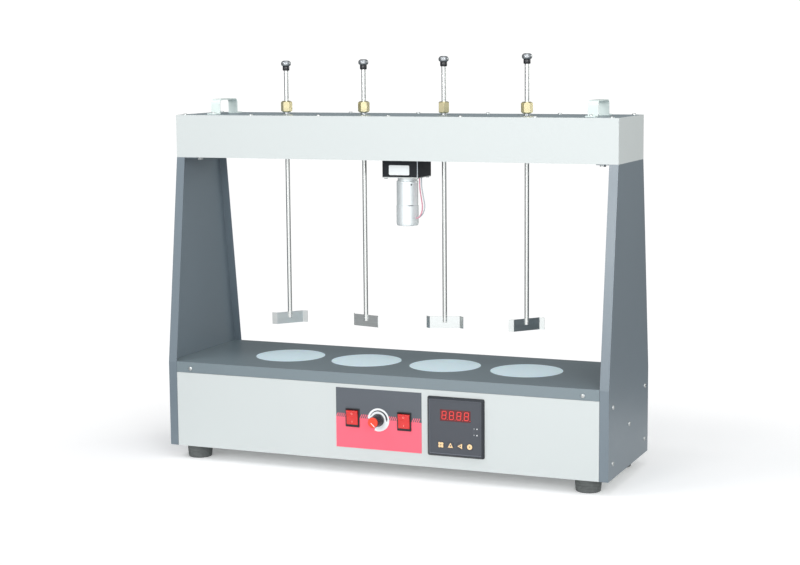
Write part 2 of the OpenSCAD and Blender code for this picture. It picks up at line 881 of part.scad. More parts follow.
// A rocker that is dished in front, with its pivot pins; s is its side, tilt its rest angle
module rocker(s, tilt) {
    h = rocker_h / 2;
    out = 6.6;
    color("red") at_switch(s) translate([0, rocker_y, 0]) rotate([tilt, 0, 0]) {
        rotate([90, 0, 90]) translate([0, 0, -rocker_w / 2]) linear_extrude(rocker_w)
            polygon([[3, -5], [-2.5, -h], [-out, -h], [-out + 0.9, -h / 2], [-out + 1.2, 0],
                     [-out + 0.9, h / 2], [-out, h], [-2.5, h], [3, 5]]);
        rotate([0, 90, 0])
            cylinder(r = pin_r, h = rocker_w + 2 * (switch_gap + switch_wall) - 0.4, center = true);
    }
}

module rocker_left() {
    rocker(-1, rocker_tilt);
}

module rocker_right() {
    rocker(1, rocker_tilt);
}

// Fluted knob with a coloured cap, fixed on the shaft of the potentiometer
module speed_knob() {
    r = knob_d / 2;
    cap_t = 2.5;
    front = overlay_y - knob_l;
    translate([overlay_x, 0, overlay_z]) {
        color("black") difference() {
            union() {
                rod_y(r, knob_y - 4, knob_y);
                rod_y(r - 1.2, front + cap_t + seat_fit, knob_y - 3);
            }
            rod_y(bush_r + 3.5, knob_y - 5, knob_y + 1);
            rod_y(knob_bore_r + seat_fit, front + cap_t + 2, knob_y + 1);
            for (i = [0:17]) rotate([0, i * 20, 0]) translate([r - 0.6, 0, 0])
                rod_y(0.9, front - 1, knob_y - 4.5);
        }
        color("orangered") rod_y(knob_cap_d / 2, front, front + cap_t);
        color("silver") rod_y(knob_bore_r, front + cap_t + 2 + seat_fit, panel_y + 6);
    }
}

// Potentiometer on its small circuit board, behind the panel
module speed_control() {
    pot_r = 12;
    pot_deep = 12;
    board = [66, 1.6, 60];
    can_r = 6;
    can_l = 18.5;
    body_y = panel_y + sheet;
    board_y = body_y + pot_deep;
    color("seagreen") translate([overlay_x, 0, overlay_z]) difference() {
        union() {
            rod_y(pot_r, body_y, board_y + 0.01);
            rod_y(bush_r, knob_y - 3.5, body_y + 1);
            translate([0, knob_y - 0.5, 0]) rod_y(bush_r + 2.6, -0.8, 1.2);
            translate([0, board_y + board[1] / 2, -8]) cube(board, center = true);
            for (s = [-1, 1]) translate([s * board[0] * 0.35, 0, -board[2] * 0.37])
                rod_y(can_r, board_y + board[1] - 0.1, board_y + board[1] + can_l);
        }
        rod_y(knob_bore_r + run_fit, knob_y - 4, panel_y + 6 + part_gap);
    }
}

// Square panel meter: sloping rim, sunk face, body and display lens
module meter_case() {
    face_y = panel_y - meter_out + meter_face_in;
    rim_slope = 2.6;
    lens = [51.5, 19.5];
    lens_at = [0, 0, 19.5];
    translate([meter_x, 0, meter_z]) {
        color("dimgray") difference() {
            union() {
                hull() {
                    along_y(panel_y - 2, panel_y) round_rect(meter_w, meter_w, 2.5, $fn = 32);
                    along_y(panel_y - meter_out, panel_y - 1)
                        round_rect(meter_w - 2 * rim_slope, meter_w - 2 * rim_slope, 1.5, $fn = 32);
                }
                along_y(panel_y - 0.01, panel_y + meter_deep) square(meter_body_w, center = true);
            }
            along_y(panel_y - meter_out - 1, face_y)
                square(meter_w - 2 * rim_slope - 2.4, center = true);
            translate(lens_at) along_y(face_y - 1, face_y + 1) square(lens, center = true);
            for (k = [1:4]) translate([key_x(k) - meter_x, 0, key_z - meter_z])
                rod_y(key_d / 2 + part_gap, face_y - 1, face_y + key_deep + 1.2);
        }
        color("darkred") translate(lens_at) along_y(face_y - 0.2, face_y + 1 - seat_fit)
            square(lens - 2 * seat_fit * [1, 1], center = true);
    }
}

module meter_key(k) {
    face_y = panel_y - meter_out + meter_face_in;
    color("dimgray") translate([key_x(k), 0, key_z])
        rod_y(key_d / 2, face_y - key_out, face_y + key_deep);
}

// ---------- fasteners and inlet ----------

module case_screws() {
    color("silver") {
        at_cover_screws() screw();
        at_handle_screws() screw();
        at_lip_screws() screw();
        at_side_screws() screw();
    }
}

module power_gland() {
    color("black") translate([gland_x, 0, gland_z]) difference() {
        union() {
            rod_y(gland_r + 2.8, half_base - 12, half_base + gland_out - 2);
            translate([0, half_base + 5, 0]) rotate([90, 0, 0])
                cylinder(r = gland_r + 8, h = 5, $fn = 6);
            rod_y(gland_r + 6.2, half_base + 5, half_base + gland_out - 4);
            translate([0, half_base + gland_out, 0]) rotate([90, 0, 0])
                cylinder(r1 = gland_r + 2.5, r2 = gland_r + 6.2, h = 4.01);
            translate([0, half_base - sheet, 0]) rotate([90, 0, 0])
                cylinder(r = gland_r + 7, h = 4, $fn = 6);
        }
        rod_y(gland_r, half_base - 20, half_base + gland_out + 1);
    }
}

// ---------- drawing ----------

base_tray();
front_panel();
deck_cover();
side_panel_left();
side_panel_right();
light_windows();
lamp_tube();
lamp_holders();
head_shell();
head_cover();
carry_handles();
bearing_housings();
housing_bolts();
idler_studs();
gearbox_case();
gearbox_plate();
motor_can();
motor_leads();
drive_gear();
output_shaft();
control_overlay();
switch_housings();
rocker_left();
rocker_right();
speed_knob();
speed_control();
meter_case();
rubber_feet();
case_screws();
power_gland();
for (k = [1:2]) idler_gear(k);
for (k = [1:4]) spindle(k);
for (k = [1:4]) spindle_gear(k);
for (k = [1:4]) collet_nut(k);
for (k = [1:4]) stirrer_rod(k);
for (k = [1:4]) paddle(k);
for (k = [1:4]) rod_cap(k);
for (k = [1:4]) meter_key(k);
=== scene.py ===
"""Looks of the four-station jar tester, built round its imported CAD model.

Lengths are metres in the CAD frame: +X to the operator's right, -Y towards the operator, +Z up.
"""

import json
import math

import bmesh
import bpy
from mathutils import Matrix, Vector


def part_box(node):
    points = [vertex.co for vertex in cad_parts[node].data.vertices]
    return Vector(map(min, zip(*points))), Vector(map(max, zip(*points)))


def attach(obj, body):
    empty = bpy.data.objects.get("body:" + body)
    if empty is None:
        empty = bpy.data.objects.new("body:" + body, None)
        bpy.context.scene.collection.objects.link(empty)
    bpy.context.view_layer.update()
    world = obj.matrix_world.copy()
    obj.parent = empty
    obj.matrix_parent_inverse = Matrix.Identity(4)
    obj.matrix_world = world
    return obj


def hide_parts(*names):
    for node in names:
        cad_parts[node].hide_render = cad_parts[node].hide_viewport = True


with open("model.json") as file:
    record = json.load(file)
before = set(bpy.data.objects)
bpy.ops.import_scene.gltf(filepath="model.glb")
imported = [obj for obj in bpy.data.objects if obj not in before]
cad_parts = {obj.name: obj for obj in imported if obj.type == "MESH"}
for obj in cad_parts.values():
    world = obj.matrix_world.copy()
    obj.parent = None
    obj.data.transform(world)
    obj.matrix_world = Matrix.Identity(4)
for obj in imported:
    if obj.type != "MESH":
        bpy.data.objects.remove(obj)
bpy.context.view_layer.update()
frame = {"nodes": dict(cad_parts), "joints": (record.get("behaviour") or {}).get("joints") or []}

MM = 0.001
TAU = 2 * math.pi
PRINT = 0.05 * MM          # thickness of printed marks
NODES = frame["nodes"]


# ---------- camera, light and floor ----------

CAMERA_AT = Vector((1.12093, -2.71674, 0.69387))
CAMERA_YAW = math.radians(22.58)
CAMERA_PITCH = math.radians(-7.51)
CAMERA_ROLL = math.radians(-0.48)
IMAGE_WIDTH = 800
FOCAL_PIXELS = 1759.18
SENSOR = 36.0
VIEW_REACH = 60.0
TOWARDS_CAMERA = (math.sin(CAMERA_YAW), -math.cos(CAMERA_YAW))

WORLD_STRENGTH = 0.66
WORLD_TINT = (0.98, 1.0, 1.03)
WORLD_SEEN = 1.6             # what the camera sees of the world: plain white
WORLD_RISE = 0.25            # how far the light side of the world leans upwards
# Brightness of the world from the far side (0) to the camera's side (1)
WORLD_STOPS = ((0.0, 0.22), (0.1, 0.34), (0.25, 0.56), (0.42, 0.28), (0.6, 0.80),
               (0.75, 1.1), (1.0, 1.5))

FLOOR_SIZE = 14.0
FLOOR_SEEN = 0.94            # base colour of the board, as the camera sees it
FLOOR_BOUNCE = 0.80          # how light the board is to other surfaces
FLOOR_GLOW = 0.19            # keeps shadows on the board light
FLOOR_GLOW_REFLECTED = FLOOR_GLOW / 3
FAR_FLOOR_SEEN = 1.05
SIDE_FLOOR_REFLECTED = 0.22  # dark enough to draw the edges of bright metal
FRONT_FLOOR_REFLECTED = 1.25  # light enough for the faces of bright metal
FRONT_FLOOR_FROM, FRONT_FLOOR_TO = 0.25, 0.90   # cosine of the turn away from the camera
BOARD_MIDDLE = 0.15          # the board's middle lies this far to the right
BOARD_SQUEEZE = 1.3          # how much shorter the board is along Y
BOARD_NEAR, BOARD_FAR = 0.55, 1.1               # the board fades between these radii


def make_camera():
    """The photograph's viewpoint, with its small roll."""
    forward = Vector((-math.sin(CAMERA_YAW) * math.cos(CAMERA_PITCH),
                      math.cos(CAMERA_YAW) * math.cos(CAMERA_PITCH),
                      math.sin(CAMERA_PITCH)))
    level = Vector((math.cos(CAMERA_YAW), math.sin(CAMERA_YAW), 0))
    upright = level.cross(forward)
    right = math.cos(CAMERA_ROLL) * level + math.sin(CAMERA_ROLL) * upright
    up = -math.sin(CAMERA_ROLL) * level + math.cos(CAMERA_ROLL) * upright
    data = bpy.data.cameras.new("camera")
    data.sensor_fit = "HORIZONTAL"
    data.sensor_width = SENSOR
    data.lens = FOCAL_PIXELS * SENSOR / IMAGE_WIDTH
    data.clip_end = VIEW_REACH
    camera = bpy.data.objects.new("camera", data)
    turn = Matrix((right, up, -forward)).transposed().to_4x4()
    camera.matrix_world = Matrix.Translation(CAMERA_AT) @ turn
    bpy.context.scene.collection.objects.link(camera)
    bpy.context.scene.camera = camera


def area_light(name, at, target, size, power, color=(1, 1, 1)):
    """A round soft light aimed at a point; power is in watts."""
    data = bpy.data.lights.new(name, "AREA")
    data.shape = "DISK"
    data.size = size
    data.energy = power
    data.color = color
    light = bpy.data.objects.new(name, data)
    light.location = at
    aim = Vector(target) - Vector(at)
    light.rotation_euler = aim.to_track_quat("-Z", "Y").to_euler()
    bpy.context.scene.collection.objects.link(light)


def make_world():
    """A white studio whose two sides are darker, so that bright metal shows its edges."""
    world = bpy.data.worlds.new("studio")
    bpy.context.scene.world = world
    world.use_nodes = True
    tree = world.node_tree
    nodes, links = tree.nodes, tree.links
    background = nodes["Background"]
    coords = nodes.new("ShaderNodeTexCoord")
    side = nodes.new("ShaderNodeVectorMath")
    side.operation = "DOT_PRODUCT"
    side.inputs[1].default_value = (*TOWARDS_CAMERA, WORLD_RISE)
    links.new(coords.outputs["Generated"], side.inputs[0])
    spread = nodes.new("ShaderNodeMapRange")
    spread.inputs["From Min"].default_value = -1
    spread.inputs["From Max"].default_value = 1
    links.new(side.outputs["Value"], spread.inputs["Value"])
    ramp = nodes.new("ShaderNodeValToRGB")
    ramp.color_ramp.interpolation = "EASE"
    ramp.color_ramp.elements.remove(ramp.color_ramp.elements[0])
    for i, (place, value) in enumerate(WORLD_STOPS):
        stop = ramp.color_ramp.elements[0] if i == 0 else ramp.color_ramp.elements.new(place)
        stop.position = place
        stop.color = (*[value * tint for tint in WORLD_TINT], 1)
    links.new(spread.outputs["Result"], ramp.inputs["Fac"])
    paths = nodes.new("ShaderNodeLightPath")
    mix = nodes.new("ShaderNodeMix")
    mix.data_type = "RGBA"
    links.new(paths.outputs["Is Camera Ray"], mix.inputs["Factor"])
    links.new(ramp.outputs["Color"], mix.inputs["A"])
    mix.inputs["B"].default_value = (WORLD_SEEN, WORLD_SEEN, WORLD_SEEN, 1)
    links.new(mix.outputs["Result"], background.inputs["Color"])
    background.inputs["Strength"].default_value = WORLD_STRENGTH


def make_floor():
    """White board that takes the shadow near the object and turns into plain light further off."""
    bpy.ops.mesh.primitive_plane_add(size=FLOOR_SIZE, location=(0, 0, 0))
    floor = bpy.context.object
    floor.name = "floor"
    material = bpy.data.materials.new("floor_white")
    material.use_nodes = True
    nodes, links = material.node_tree.nodes, material.node_tree.links
    shader = nodes["Principled BSDF"]
    shader.inputs["Roughness"].default_value = 0.9
    shader.inputs["Specular IOR Level"].default_value = 0.1
    shader.inputs["Emission Color"].default_value = (1, 1, 1, 1)
    plain = nodes.new("ShaderNodeEmission")
    paths = nodes.new("ShaderNodeLightPath")
    coords = nodes.new("ShaderNodeTexCoord")

    def by_path(target, seen_value, other_value):
        """One value for what the camera sees, another for light that reaches the object."""
        choice = nodes.new("ShaderNodeMapRange")
        choice.inputs["To Max"].default_value = seen_value
        if isinstance(other_value, float):
            choice.inputs["To Min"].default_value = other_value
        else:
            links.new(other_value, choice.inputs["To Min"])
        links.new(paths.outputs["Is Camera Ray"], choice.inputs["Value"])
        links.new(choice.outputs["Result"], target)

    outward = nodes.new("ShaderNodeVectorMath")
    outward.operation = "NORMALIZE"
    links.new(coords.outputs["Object"], outward.inputs[0])
    facing = nodes.new("ShaderNodeVectorMath")
    facing.operation = "DOT_PRODUCT"
    facing.inputs[1].default_value = (*TOWARDS_CAMERA, 0)
    links.new(outward.outputs["Vector"], facing.inputs[0])
    front = nodes.new("ShaderNodeMapRange")
    front.interpolation_type = "SMOOTHSTEP"
    front.inputs["From Min"].default_value = FRONT_FLOOR_FROM
    front.inputs["From Max"].default_value = FRONT_FLOOR_TO
    front.inputs["To Min"].default_value = SIDE_FLOOR_REFLECTED
    front.inputs["To Max"].default_value = FRONT_FLOOR_REFLECTED
    links.new(facing.outputs["Value"], front.inputs["Value"])
    by_path(shader.inputs["Base Color"], FLOOR_SEEN, FLOOR_BOUNCE)
    by_path(shader.inputs["Emission Strength"], FLOOR_GLOW, FLOOR_GLOW_REFLECTED)
    by_path(plain.inputs["Strength"], FAR_FLOOR_SEEN, front.outputs["Result"])
    squeeze = nodes.new("ShaderNodeMapping")
    squeeze.inputs["Location"].default_value = (-BOARD_MIDDLE, 0.0, 0.0)
    squeeze.inputs["Scale"].default_value = (1.0, BOARD_SQUEEZE, 1.0)
    links.new(coords.outputs["Object"], squeeze.inputs["Vector"])
    away = nodes.new("ShaderNodeVectorMath")
    away.operation = "LENGTH"
    links.new(squeeze.outputs["Vector"], away.inputs[0])
    fade = nodes.new("ShaderNodeMapRange")
    fade.interpolation_type = "SMOOTHSTEP"
    fade.inputs["From Min"].default_value = BOARD_NEAR
    fade.inputs["From Max"].default_value = BOARD_FAR
    links.new(away.outputs["Value"], fade.inputs["Value"])
    mix = nodes.new("ShaderNodeMixShader")
    links.new(fade.outputs["Result"], mix.inputs["Fac"])
    links.new(shader.outputs["BSDF"], mix.inputs[1])
    links.new(plain.outputs["Emission"], mix.inputs[2])
    links.new(mix.outputs["Shader"], nodes["Material Output"].inputs["Surface"])
    floor.data.materials.append(material)


make_camera()
make_world()
make_floor()
area_light("key", at=(-0.5, -3.2, 1.2), target=(0, 0, 0.35), size=1.1, power=22)
area_light("camera_side", at=(2.2, -3.1, 1.5), target=(0, 0, 0.4), size=1.3, power=30)
area_light("high_key", at=(-1.6, -1.6, 2.8), target=(0, 0, 0.25), size=1.4, power=16)
area_light("top", at=(0.5, -0.4, 3.0), target=(0.1, 0, 0.2), size=1.8, power=12)
area_light("back", at=(2.4, 2.2, 1.3), target=(0, 0, 0.35), size=1.6, power=20,
           color=(0.98, 1.0, 0.94))
bpy.context.scene.view_settings.view_transform = "Standard"


# ---------- materials ----------

MOTTLE_DETAIL = 5
GRAIN_DETAIL = 3
GRAIN_DEPTH = 0.1 * MM
LEAST_ROUGH = 0.02


def linear(red, green, blue):
    """Linear colour of an 8-bit screen colour."""
    out = []
    for value in (red, green, blue):
        value /= 255
        out.append(value / 12.92 if value <= 0.04045 else ((value + 0.055) / 1.055) ** 2.4)
    return out


def surface(name, color, rough, metal=0.0, mottle=0.03, mottle_scale=6.0, grain=0.1,
            grain_scale=1400.0, stretch=(1, 1, 1), rough_spread=0.06, **sockets):
    """A finish with slight mottling, a fine grain in its relief and an uneven roughness."""
    material = bpy.data.materials.new(name)
    material.use_nodes = True
    nodes, links = material.node_tree.nodes, material.node_tree.links
    shader = nodes["Principled BSDF"]
    shader.inputs["Metallic"].default_value = metal
    for key, value in sockets.items():
        shader.inputs[key.replace("_", " ")].default_value = value
    coords = nodes.new("ShaderNodeTexCoord")
    mapping = nodes.new("ShaderNodeMapping")
    mapping.inputs["Scale"].default_value = stretch
    links.new(coords.outputs["Object"], mapping.inputs["Vector"])

    clouds = nodes.new("ShaderNodeTexNoise")
    clouds.inputs["Scale"].default_value = mottle_scale
    clouds.inputs["Detail"].default_value = MOTTLE_DETAIL
    links.new(mapping.outputs["Vector"], clouds.inputs["Vector"])
    mix = nodes.new("ShaderNodeMix")
    mix.data_type = "RGBA"
    mix.inputs["A"].default_value = (*[c * (1 - mottle) for c in color], 1)
    mix.inputs["B"].default_value = (*[min(1, c * (1 + mottle)) for c in color], 1)
    links.new(clouds.outputs["Fac"], mix.inputs["Factor"])
    links.new(mix.outputs["Result"], shader.inputs["Base Color"])

    fine = nodes.new("ShaderNodeTexNoise")
    fine.inputs["Scale"].default_value = grain_scale
    fine.inputs["Detail"].default_value = GRAIN_DETAIL
    links.new(mapping.outputs["Vector"], fine.inputs["Vector"])
    bump = nodes.new("ShaderNodeBump")
    bump.inputs["Strength"].default_value = grain
    bump.inputs["Distance"].default_value = GRAIN_DEPTH
    links.new(fine.outputs["Fac"], bump.inputs["Height"])
    links.new(bump.outputs["Normal"], shader.inputs["Normal"])
    spread = nodes.new("ShaderNodeMapRange")
    spread.inputs["To Min"].default_value = max(LEAST_ROUGH, rough - rough_spread)
    spread.inputs["To Max"].default_value = min(1, rough + rough_spread)
    links.new(clouds.outputs["Fac"], spread.inputs["Value"])
    links.new(spread.outputs["Result"], shader.inputs["Roughness"])
    return material


def brushed(name, color, rough, along=(40, 40, 1), grain=0.12):
    """Bare metal with fine lines; the texture is drawn out along the axis scaled least."""
    return surface(name, color, rough, metal=1.0, mottle=0.05, mottle_scale=25, grain=grain,
                   grain_scale=60, stretch=along, rough_spread=0.08)


LIGHT_PAINT = surface("light_paint", linear(203, 209, 208), 0.46, mottle=0.012, grain=0.05)
DARK_PAINT = surface("dark_paint", linear(108, 121, 130), 0.34, mottle=0.03, grain=0.08,
                     Specular_IOR_Level=0.9)
DECK_PAINT = surface("deck_paint", linear(117, 131, 137), 0.34, mottle=0.03, grain=0.06,
                     Specular_IOR_Level=0.9)
COVER_PAINT = surface("cover_paint", linear(144, 157, 162), 0.42, mottle=0.02, grain=0.08)
HANDLE_PAINT = surface("handle_paint", linear(224, 235, 231), 0.38, mottle=0.015, grain=0.05)
GEARBOX_PAINT = surface("gearbox_paint", linear(17, 22, 29), 0.5, mottle=0.08, grain=0.12,
                        grain_scale=900, Specular_IOR_Level=0.3)
# Bright grey for the strip on the gearbox's front, a painted highlight of the case's front right
# corner.
CORNER_HIGHLIGHT_GREY = surface("corner_highlight_grey", linear(176, 182, 188), 0.35, metal=0.5, mottle=0.04,
                    mottle_scale=90)
# The opal windows carry a faint painted glow: their emission brightens them, though the lamp tube
# under them gives no light.
OPAL = surface("opal_acrylic", linear(224, 240, 246), 0.35, mottle=0.06, mottle_scale=420,
               grain=0.25, grain_scale=900, Subsurface_Weight=0.15,
               Emission_Color=(0.8, 0.95, 1.0, 1), Emission_Strength=0.12)
WHITE_PLASTIC = surface("white_plastic", linear(232, 232, 228), 0.5)
LAMP_GLASS = surface("lamp_glass", linear(245, 245, 242), 0.2, mottle=0.01, grain=0.01)
CAST_ALLOY = surface("cast_alloy", linear(170, 172, 174), 0.45, metal=1.0, grain=0.3,
                     grain_scale=700)
ZINC = surface("bright_zinc", linear(208, 211, 210), 0.34, metal=1.0, mottle=0.05,
               mottle_scale=300, grain=0.06)
TURNED_STEEL = brushed("turned_steel", linear(196, 198, 200), 0.28, along=(1, 1, 40))
STAINLESS_ROD = surface("stainless_rod", linear(228, 230, 228), 0.26, metal=1.0, mottle=0.03,
                        mottle_scale=9, grain=0.0, rough_spread=0.02)
STAINLESS_PLATE = brushed("stainless_plate", linear(226, 230, 229), 0.32, along=(1, 1, 30),
                          grain=0.02)
MOTOR_ALLOY = surface("motor_alloy", linear(236, 242, 243), 0.42, metal=0.5, mottle=0.03,
                      mottle_scale=60, grain=0.04, grain_scale=500, stretch=(1, 1, 12))
BRASS = surface("nut_brass", linear(243, 231, 186), 0.20, metal=1.0, mottle=0.04,
                mottle_scale=80, grain=0.03)
CHROME = surface("cap_chrome", linear(172, 176, 179), 0.34, metal=1.0, mottle=0.03, grain=0.02)
GEAR_NYLON = surface("gear_nylon", linear(238, 236, 226), 0.45, grain=0.08)
BLACK_PLASTIC = surface("black_plastic", linear(32, 33, 36), 0.42, mottle=0.06, grain=0.2,
                        grain_scale=1100)
COLLAR_BLACK = surface("collar_black", linear(26, 28, 32), 0.22, mottle=0.05, grain=0.05)
KNOB_PLASTIC = surface("knob_plastic", linear(52, 54, 60), 0.28, mottle=0.06, grain=0.10)
KNOB_ORANGE = surface("knob_orange", linear(236, 74, 48), 0.35, mottle=0.03, grain=0.06)
WHITE_INK = surface("white_ink", linear(240, 244, 245), 0.5, mottle=0.02, grain=0.03)
# Dark print, also used for the motor's seam and for the painted shade of its hole.
DARK_INK_AND_HOLE_SHADE = surface("dark_ink_and_hole_shade", linear(52, 55, 62), 0.5, mottle=0.03, grain=0.03)
PINK_INK = surface("pink_ink", linear(250, 150, 140), 0.5, mottle=0.02, grain=0.03)
TAN_INK = surface("tan_ink", linear(250, 212, 160), 0.5, mottle=0.03, grain=0.04)
OVERLAY_DARK = surface("overlay_dark", linear(89, 95, 102), 0.36, mottle=0.03, grain=0.05)
OVERLAY_RED = surface("overlay_red", linear(250, 104, 124), 0.36, mottle=0.025, grain=0.05)
ROCKER_RED = surface("rocker_red", linear(230, 50, 48), 0.22, mottle=0.05, mottle_scale=60,
                     grain=0.03, Subsurface_Weight=0.2, Coat_Weight=0.4)
METER_PLASTIC = surface("meter_plastic", linear(73, 77, 84), 0.42, mottle=0.04, grain=0.18,
                        grain_scale=1200)
# Rim and bead are the meter's own plastic: the rim is painted darker as shade on its slanted face,
# the bead lighter as a painted highlight.
METER_RIM_PAINTED_SHADE = surface("meter_rim", linear(44, 48, 54), 0.34, mottle=0.03, grain=0.10)
METER_BEAD_PAINTED_HIGHLIGHT = surface("meter_bead", linear(112, 118, 128), 0.34, mottle=0.03, grain=0.06)
METER_LENS = surface("meter_lens", linear(96, 12, 20), 0.2, mottle=0.05, grain=0.01,
                     Coat_Weight=0.5)
DIGIT_RED = surface("digit_red", linear(232, 60, 56), 0.3, mottle=0.03, grain=0.01,
                    Emission_Color=(1.0, 0.05, 0.04, 1), Emission_Strength=0.35)
BOARD_GREEN = surface("board_green", linear(30, 90, 60), 0.4, mottle=0.1, mottle_scale=200)
RUBBER = surface("foot_rubber", linear(96, 100, 99), 0.70, mottle=0.30, mottle_scale=120,
                 grain=0.35, grain_scale=600)
LEAD_RED = surface("lead_red", linear(214, 146, 164), 0.4, mottle=0.06, mottle_scale=80)
LEAD_GREY = surface("lead_grey", linear(186, 194, 200), 0.4, mottle=0.06, mottle_scale=80)


# ---------- mesh helpers ----------

SAME_POINT = 0.001 * MM     # vertices nearer than this are one
SAME_PLANE = math.radians(0.5)
BEDDED = 0.01 * MM          # how far a thin mark reaches into what carries it
MARK_LIFT = 0.12 * MM       # how far a mark stands out of a curved face


def add_piece(name, verts, faces, material, body, smooth_angle=32):
    """A mesh object in the CAD frame that rides on a body."""
    mesh = bpy.data.meshes.new(name)
    mesh.from_pydata([tuple(v) for v in verts], [], faces)
    edit = bmesh.new()
    edit.from_mesh(mesh)
    bmesh.ops.recalc_face_normals(edit, faces=edit.faces)
    edit.to_mesh(mesh)
    edit.free()
    mesh.materials.append(material)
    mesh.shade_smooth()
    mesh.set_sharp_from_angle(angle=math.radians(smooth_angle))
    piece = bpy.data.objects.new(name, mesh)
    bpy.context.scene.collection.objects.link(piece)
    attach(piece, body)
    return piece


def round_edges(piece, width, segments=2, angle=35):
    """Breaks the sharp edges, as bends, mouldings and machined edges have them."""
    bevel = piece.modifiers.new("edges", "BEVEL")
    bevel.width = width
    bevel.segments = segments
    bevel.limit_method = "ANGLE"
    bevel.angle_limit = math.radians(angle)
    bevel.harden_normals = False
    return piece


def prism_faces(count, start=0):
    """Faces between two copies of an outline of that many points."""
    faces = [[start + i for i in range(count)],
             [start + count + i for i in reversed(range(count))]]
    faces += [[start + i, start + (i + 1) % count, start + count + (i + 1) % count,
               start + count + i] for i in range(count)]
    return faces


def prism(outline, y_front, y_back, start=0):
    """Vertices and faces of an XZ outline drawn along Y."""
    verts = [(x, y, z) for y in (y_front, y_back) for x, z in outline]
    return verts, prism_faces(len(outline), start)


def prisms(name, outlines, y_front, y_back, material, body):
    """Several XZ outlines drawn along Y, as one piece."""
    verts, faces = [], []
    for outline in outlines:
        more_verts, more_faces = prism(outline, y_front, y_back, len(verts))
        verts += more_verts
        faces += more_faces
    return add_piece(name, verts, faces, material, body)


def lathe(profile, steps=64, start=0):
    """Vertices and faces of a (radius, height) profile turned round +Z, closed at both ends."""
    verts = []
    for radius, height in profile:
        for i in range(steps):
            verts.append(Vector((radius * math.cos(TAU * i / steps),
                                 radius * math.sin(TAU * i / steps), height)))
    faces = []
    for ring in range(len(profile) - 1):
        for i in range(steps):
            a = start + ring * steps + i
            b = start + ring * steps + (i + 1) % steps
            faces.append([a, b, b + steps, a + steps])
    last = start + (len(profile) - 1) * steps
    faces.append([start + i for i in reversed(range(steps))])
    faces.append([last + i for i in range(steps)])
    return verts, faces


def turned(name, profile, matrix, material, body, steps=64, smooth_angle=32):
    """A piece turned on a lathe, placed by a matrix."""
    verts, faces = lathe(profile, steps)
    return add_piece(name, [matrix @ v for v in verts], faces, material, body,
                     smooth_angle)


def facing_front(x, y, z):
    """Places +Z of a turned piece along -Y, towards the operator."""
    return Matrix.Translation((x, y, z)) @ Matrix.Rotation(math.pi / 2, 4, "X")


def circle(x, z, radius, steps=32):
    """Outline of a disc in XZ."""
    return [(x + radius * math.cos(TAU * i / steps), z + radius * math.sin(TAU * i / steps))
            for i in range(steps)]


def arc_band(x, z, inner, outer, start_deg, end_deg, steps=72):
    """Outline of part of a ring; radii may be pairs that change along the arc."""
    def at(radii, t):
        low, high = radii if isinstance(radii, tuple) else (radii, radii)
        return low + (high - low) * t

    angles = [math.radians(start_deg + (end_deg - start_deg) * i / steps)
              for i in range(steps + 1)]
    out = [(x + at(outer, i / steps) * math.cos(a), z + at(outer, i / steps) * math.sin(a))
           for i, a in enumerate(angles)]
    back = [(x + at(inner, i / steps) * math.cos(a), z + at(inner, i / steps) * math.sin(a))
            for i, a in enumerate(angles)]
    return out + back[::-1]


def rounded(x, z, width, height, radius, steps=6):
    """Outline of a rectangle with round corners."""
    points = []
    for quarter, (sx, sz) in enumerate(((1, 1), (-1, 1), (-1, -1), (1, -1))):
        cx = x + sx * (width / 2 - radius)
        cz = z + sz * (height / 2 - radius)
        for i in range(steps + 1):
            angle = math.pi / 2 * (quarter + i / steps)
            points.append((cx + radius * math.cos(angle), cz + radius * math.sin(angle)))
    return points


def finish_node(node, material, edge=0.0, angle=35):
    """Gives a CAD node its material and, where its edges show, softer edges."""
    part = NODES[node]
    for slot_index in range(len(part.material_slots)):
        part.material_slots[slot_index].material = material
    if edge:
        weld = part.modifiers.new("weld", "WELD")
        weld.merge_threshold = SAME_POINT
        flats = part.modifiers.new("flats", "DECIMATE")
        flats.decimate_type = "DISSOLVE"
        flats.angle_limit = SAME_PLANE
        round_edges(part, edge, angle=angle)
        part.modifiers.new("shading", "WEIGHTED_NORMAL").keep_sharp = True


def islands(node):
    """Lowest and highest corners of each separate solid of a CAD node."""
    edit = bmesh.new()
    edit.from_mesh(NODES[node].data)
    bmesh.ops.remove_doubles(edit, verts=edit.verts, dist=SAME_POINT)
    edit.verts.ensure_lookup_table()
    seen = set()
    found = []
    for seed in edit.verts:
        if seed.index in seen:
            continue
        group = [seed]
        seen.add(seed.index)
        for vert in group:
            for edge in vert.link_edges:
                other = edge.other_vert(vert)
                if other.index not in seen:
                    seen.add(other.index)
                    group.append(other)
        low = Vector([min(v.co[i] for v in group) for i in range(3)])
        high = Vector([max(v.co[i] for v in group) for i in range(3)])
        found.append((low, high))
    edit.free()
    return sorted(found, key=lambda pair: tuple(round(c, 5) for c in pair[0]))


# ---------- cords: the motor's two leads ----------

LEAD_ACROSS = 2.2 * MM
RED_ROUTE = ((23, -5, 416), (27.5, -5, 417.5), (31.5, -5, 422), (34, -5, 428.5),
             (34.5, -4.5, 437), (33, -4, 447), (31, -3.5, 458), (29.5, -3, 469),
             (29, -2.5, 478), (29, -2.5, 484.9))
GREY_ROUTE = ((23, -1, 416), (28, -1, 418), (33, -1, 422.5), (36.5, -1.5, 429.5),
              (37.5, -1.5, 438), (36, -1.5, 448), (34, -1, 458), (32, -0.5, 468),
              (31.5, 0, 477), (31.5, 0, 484.9))


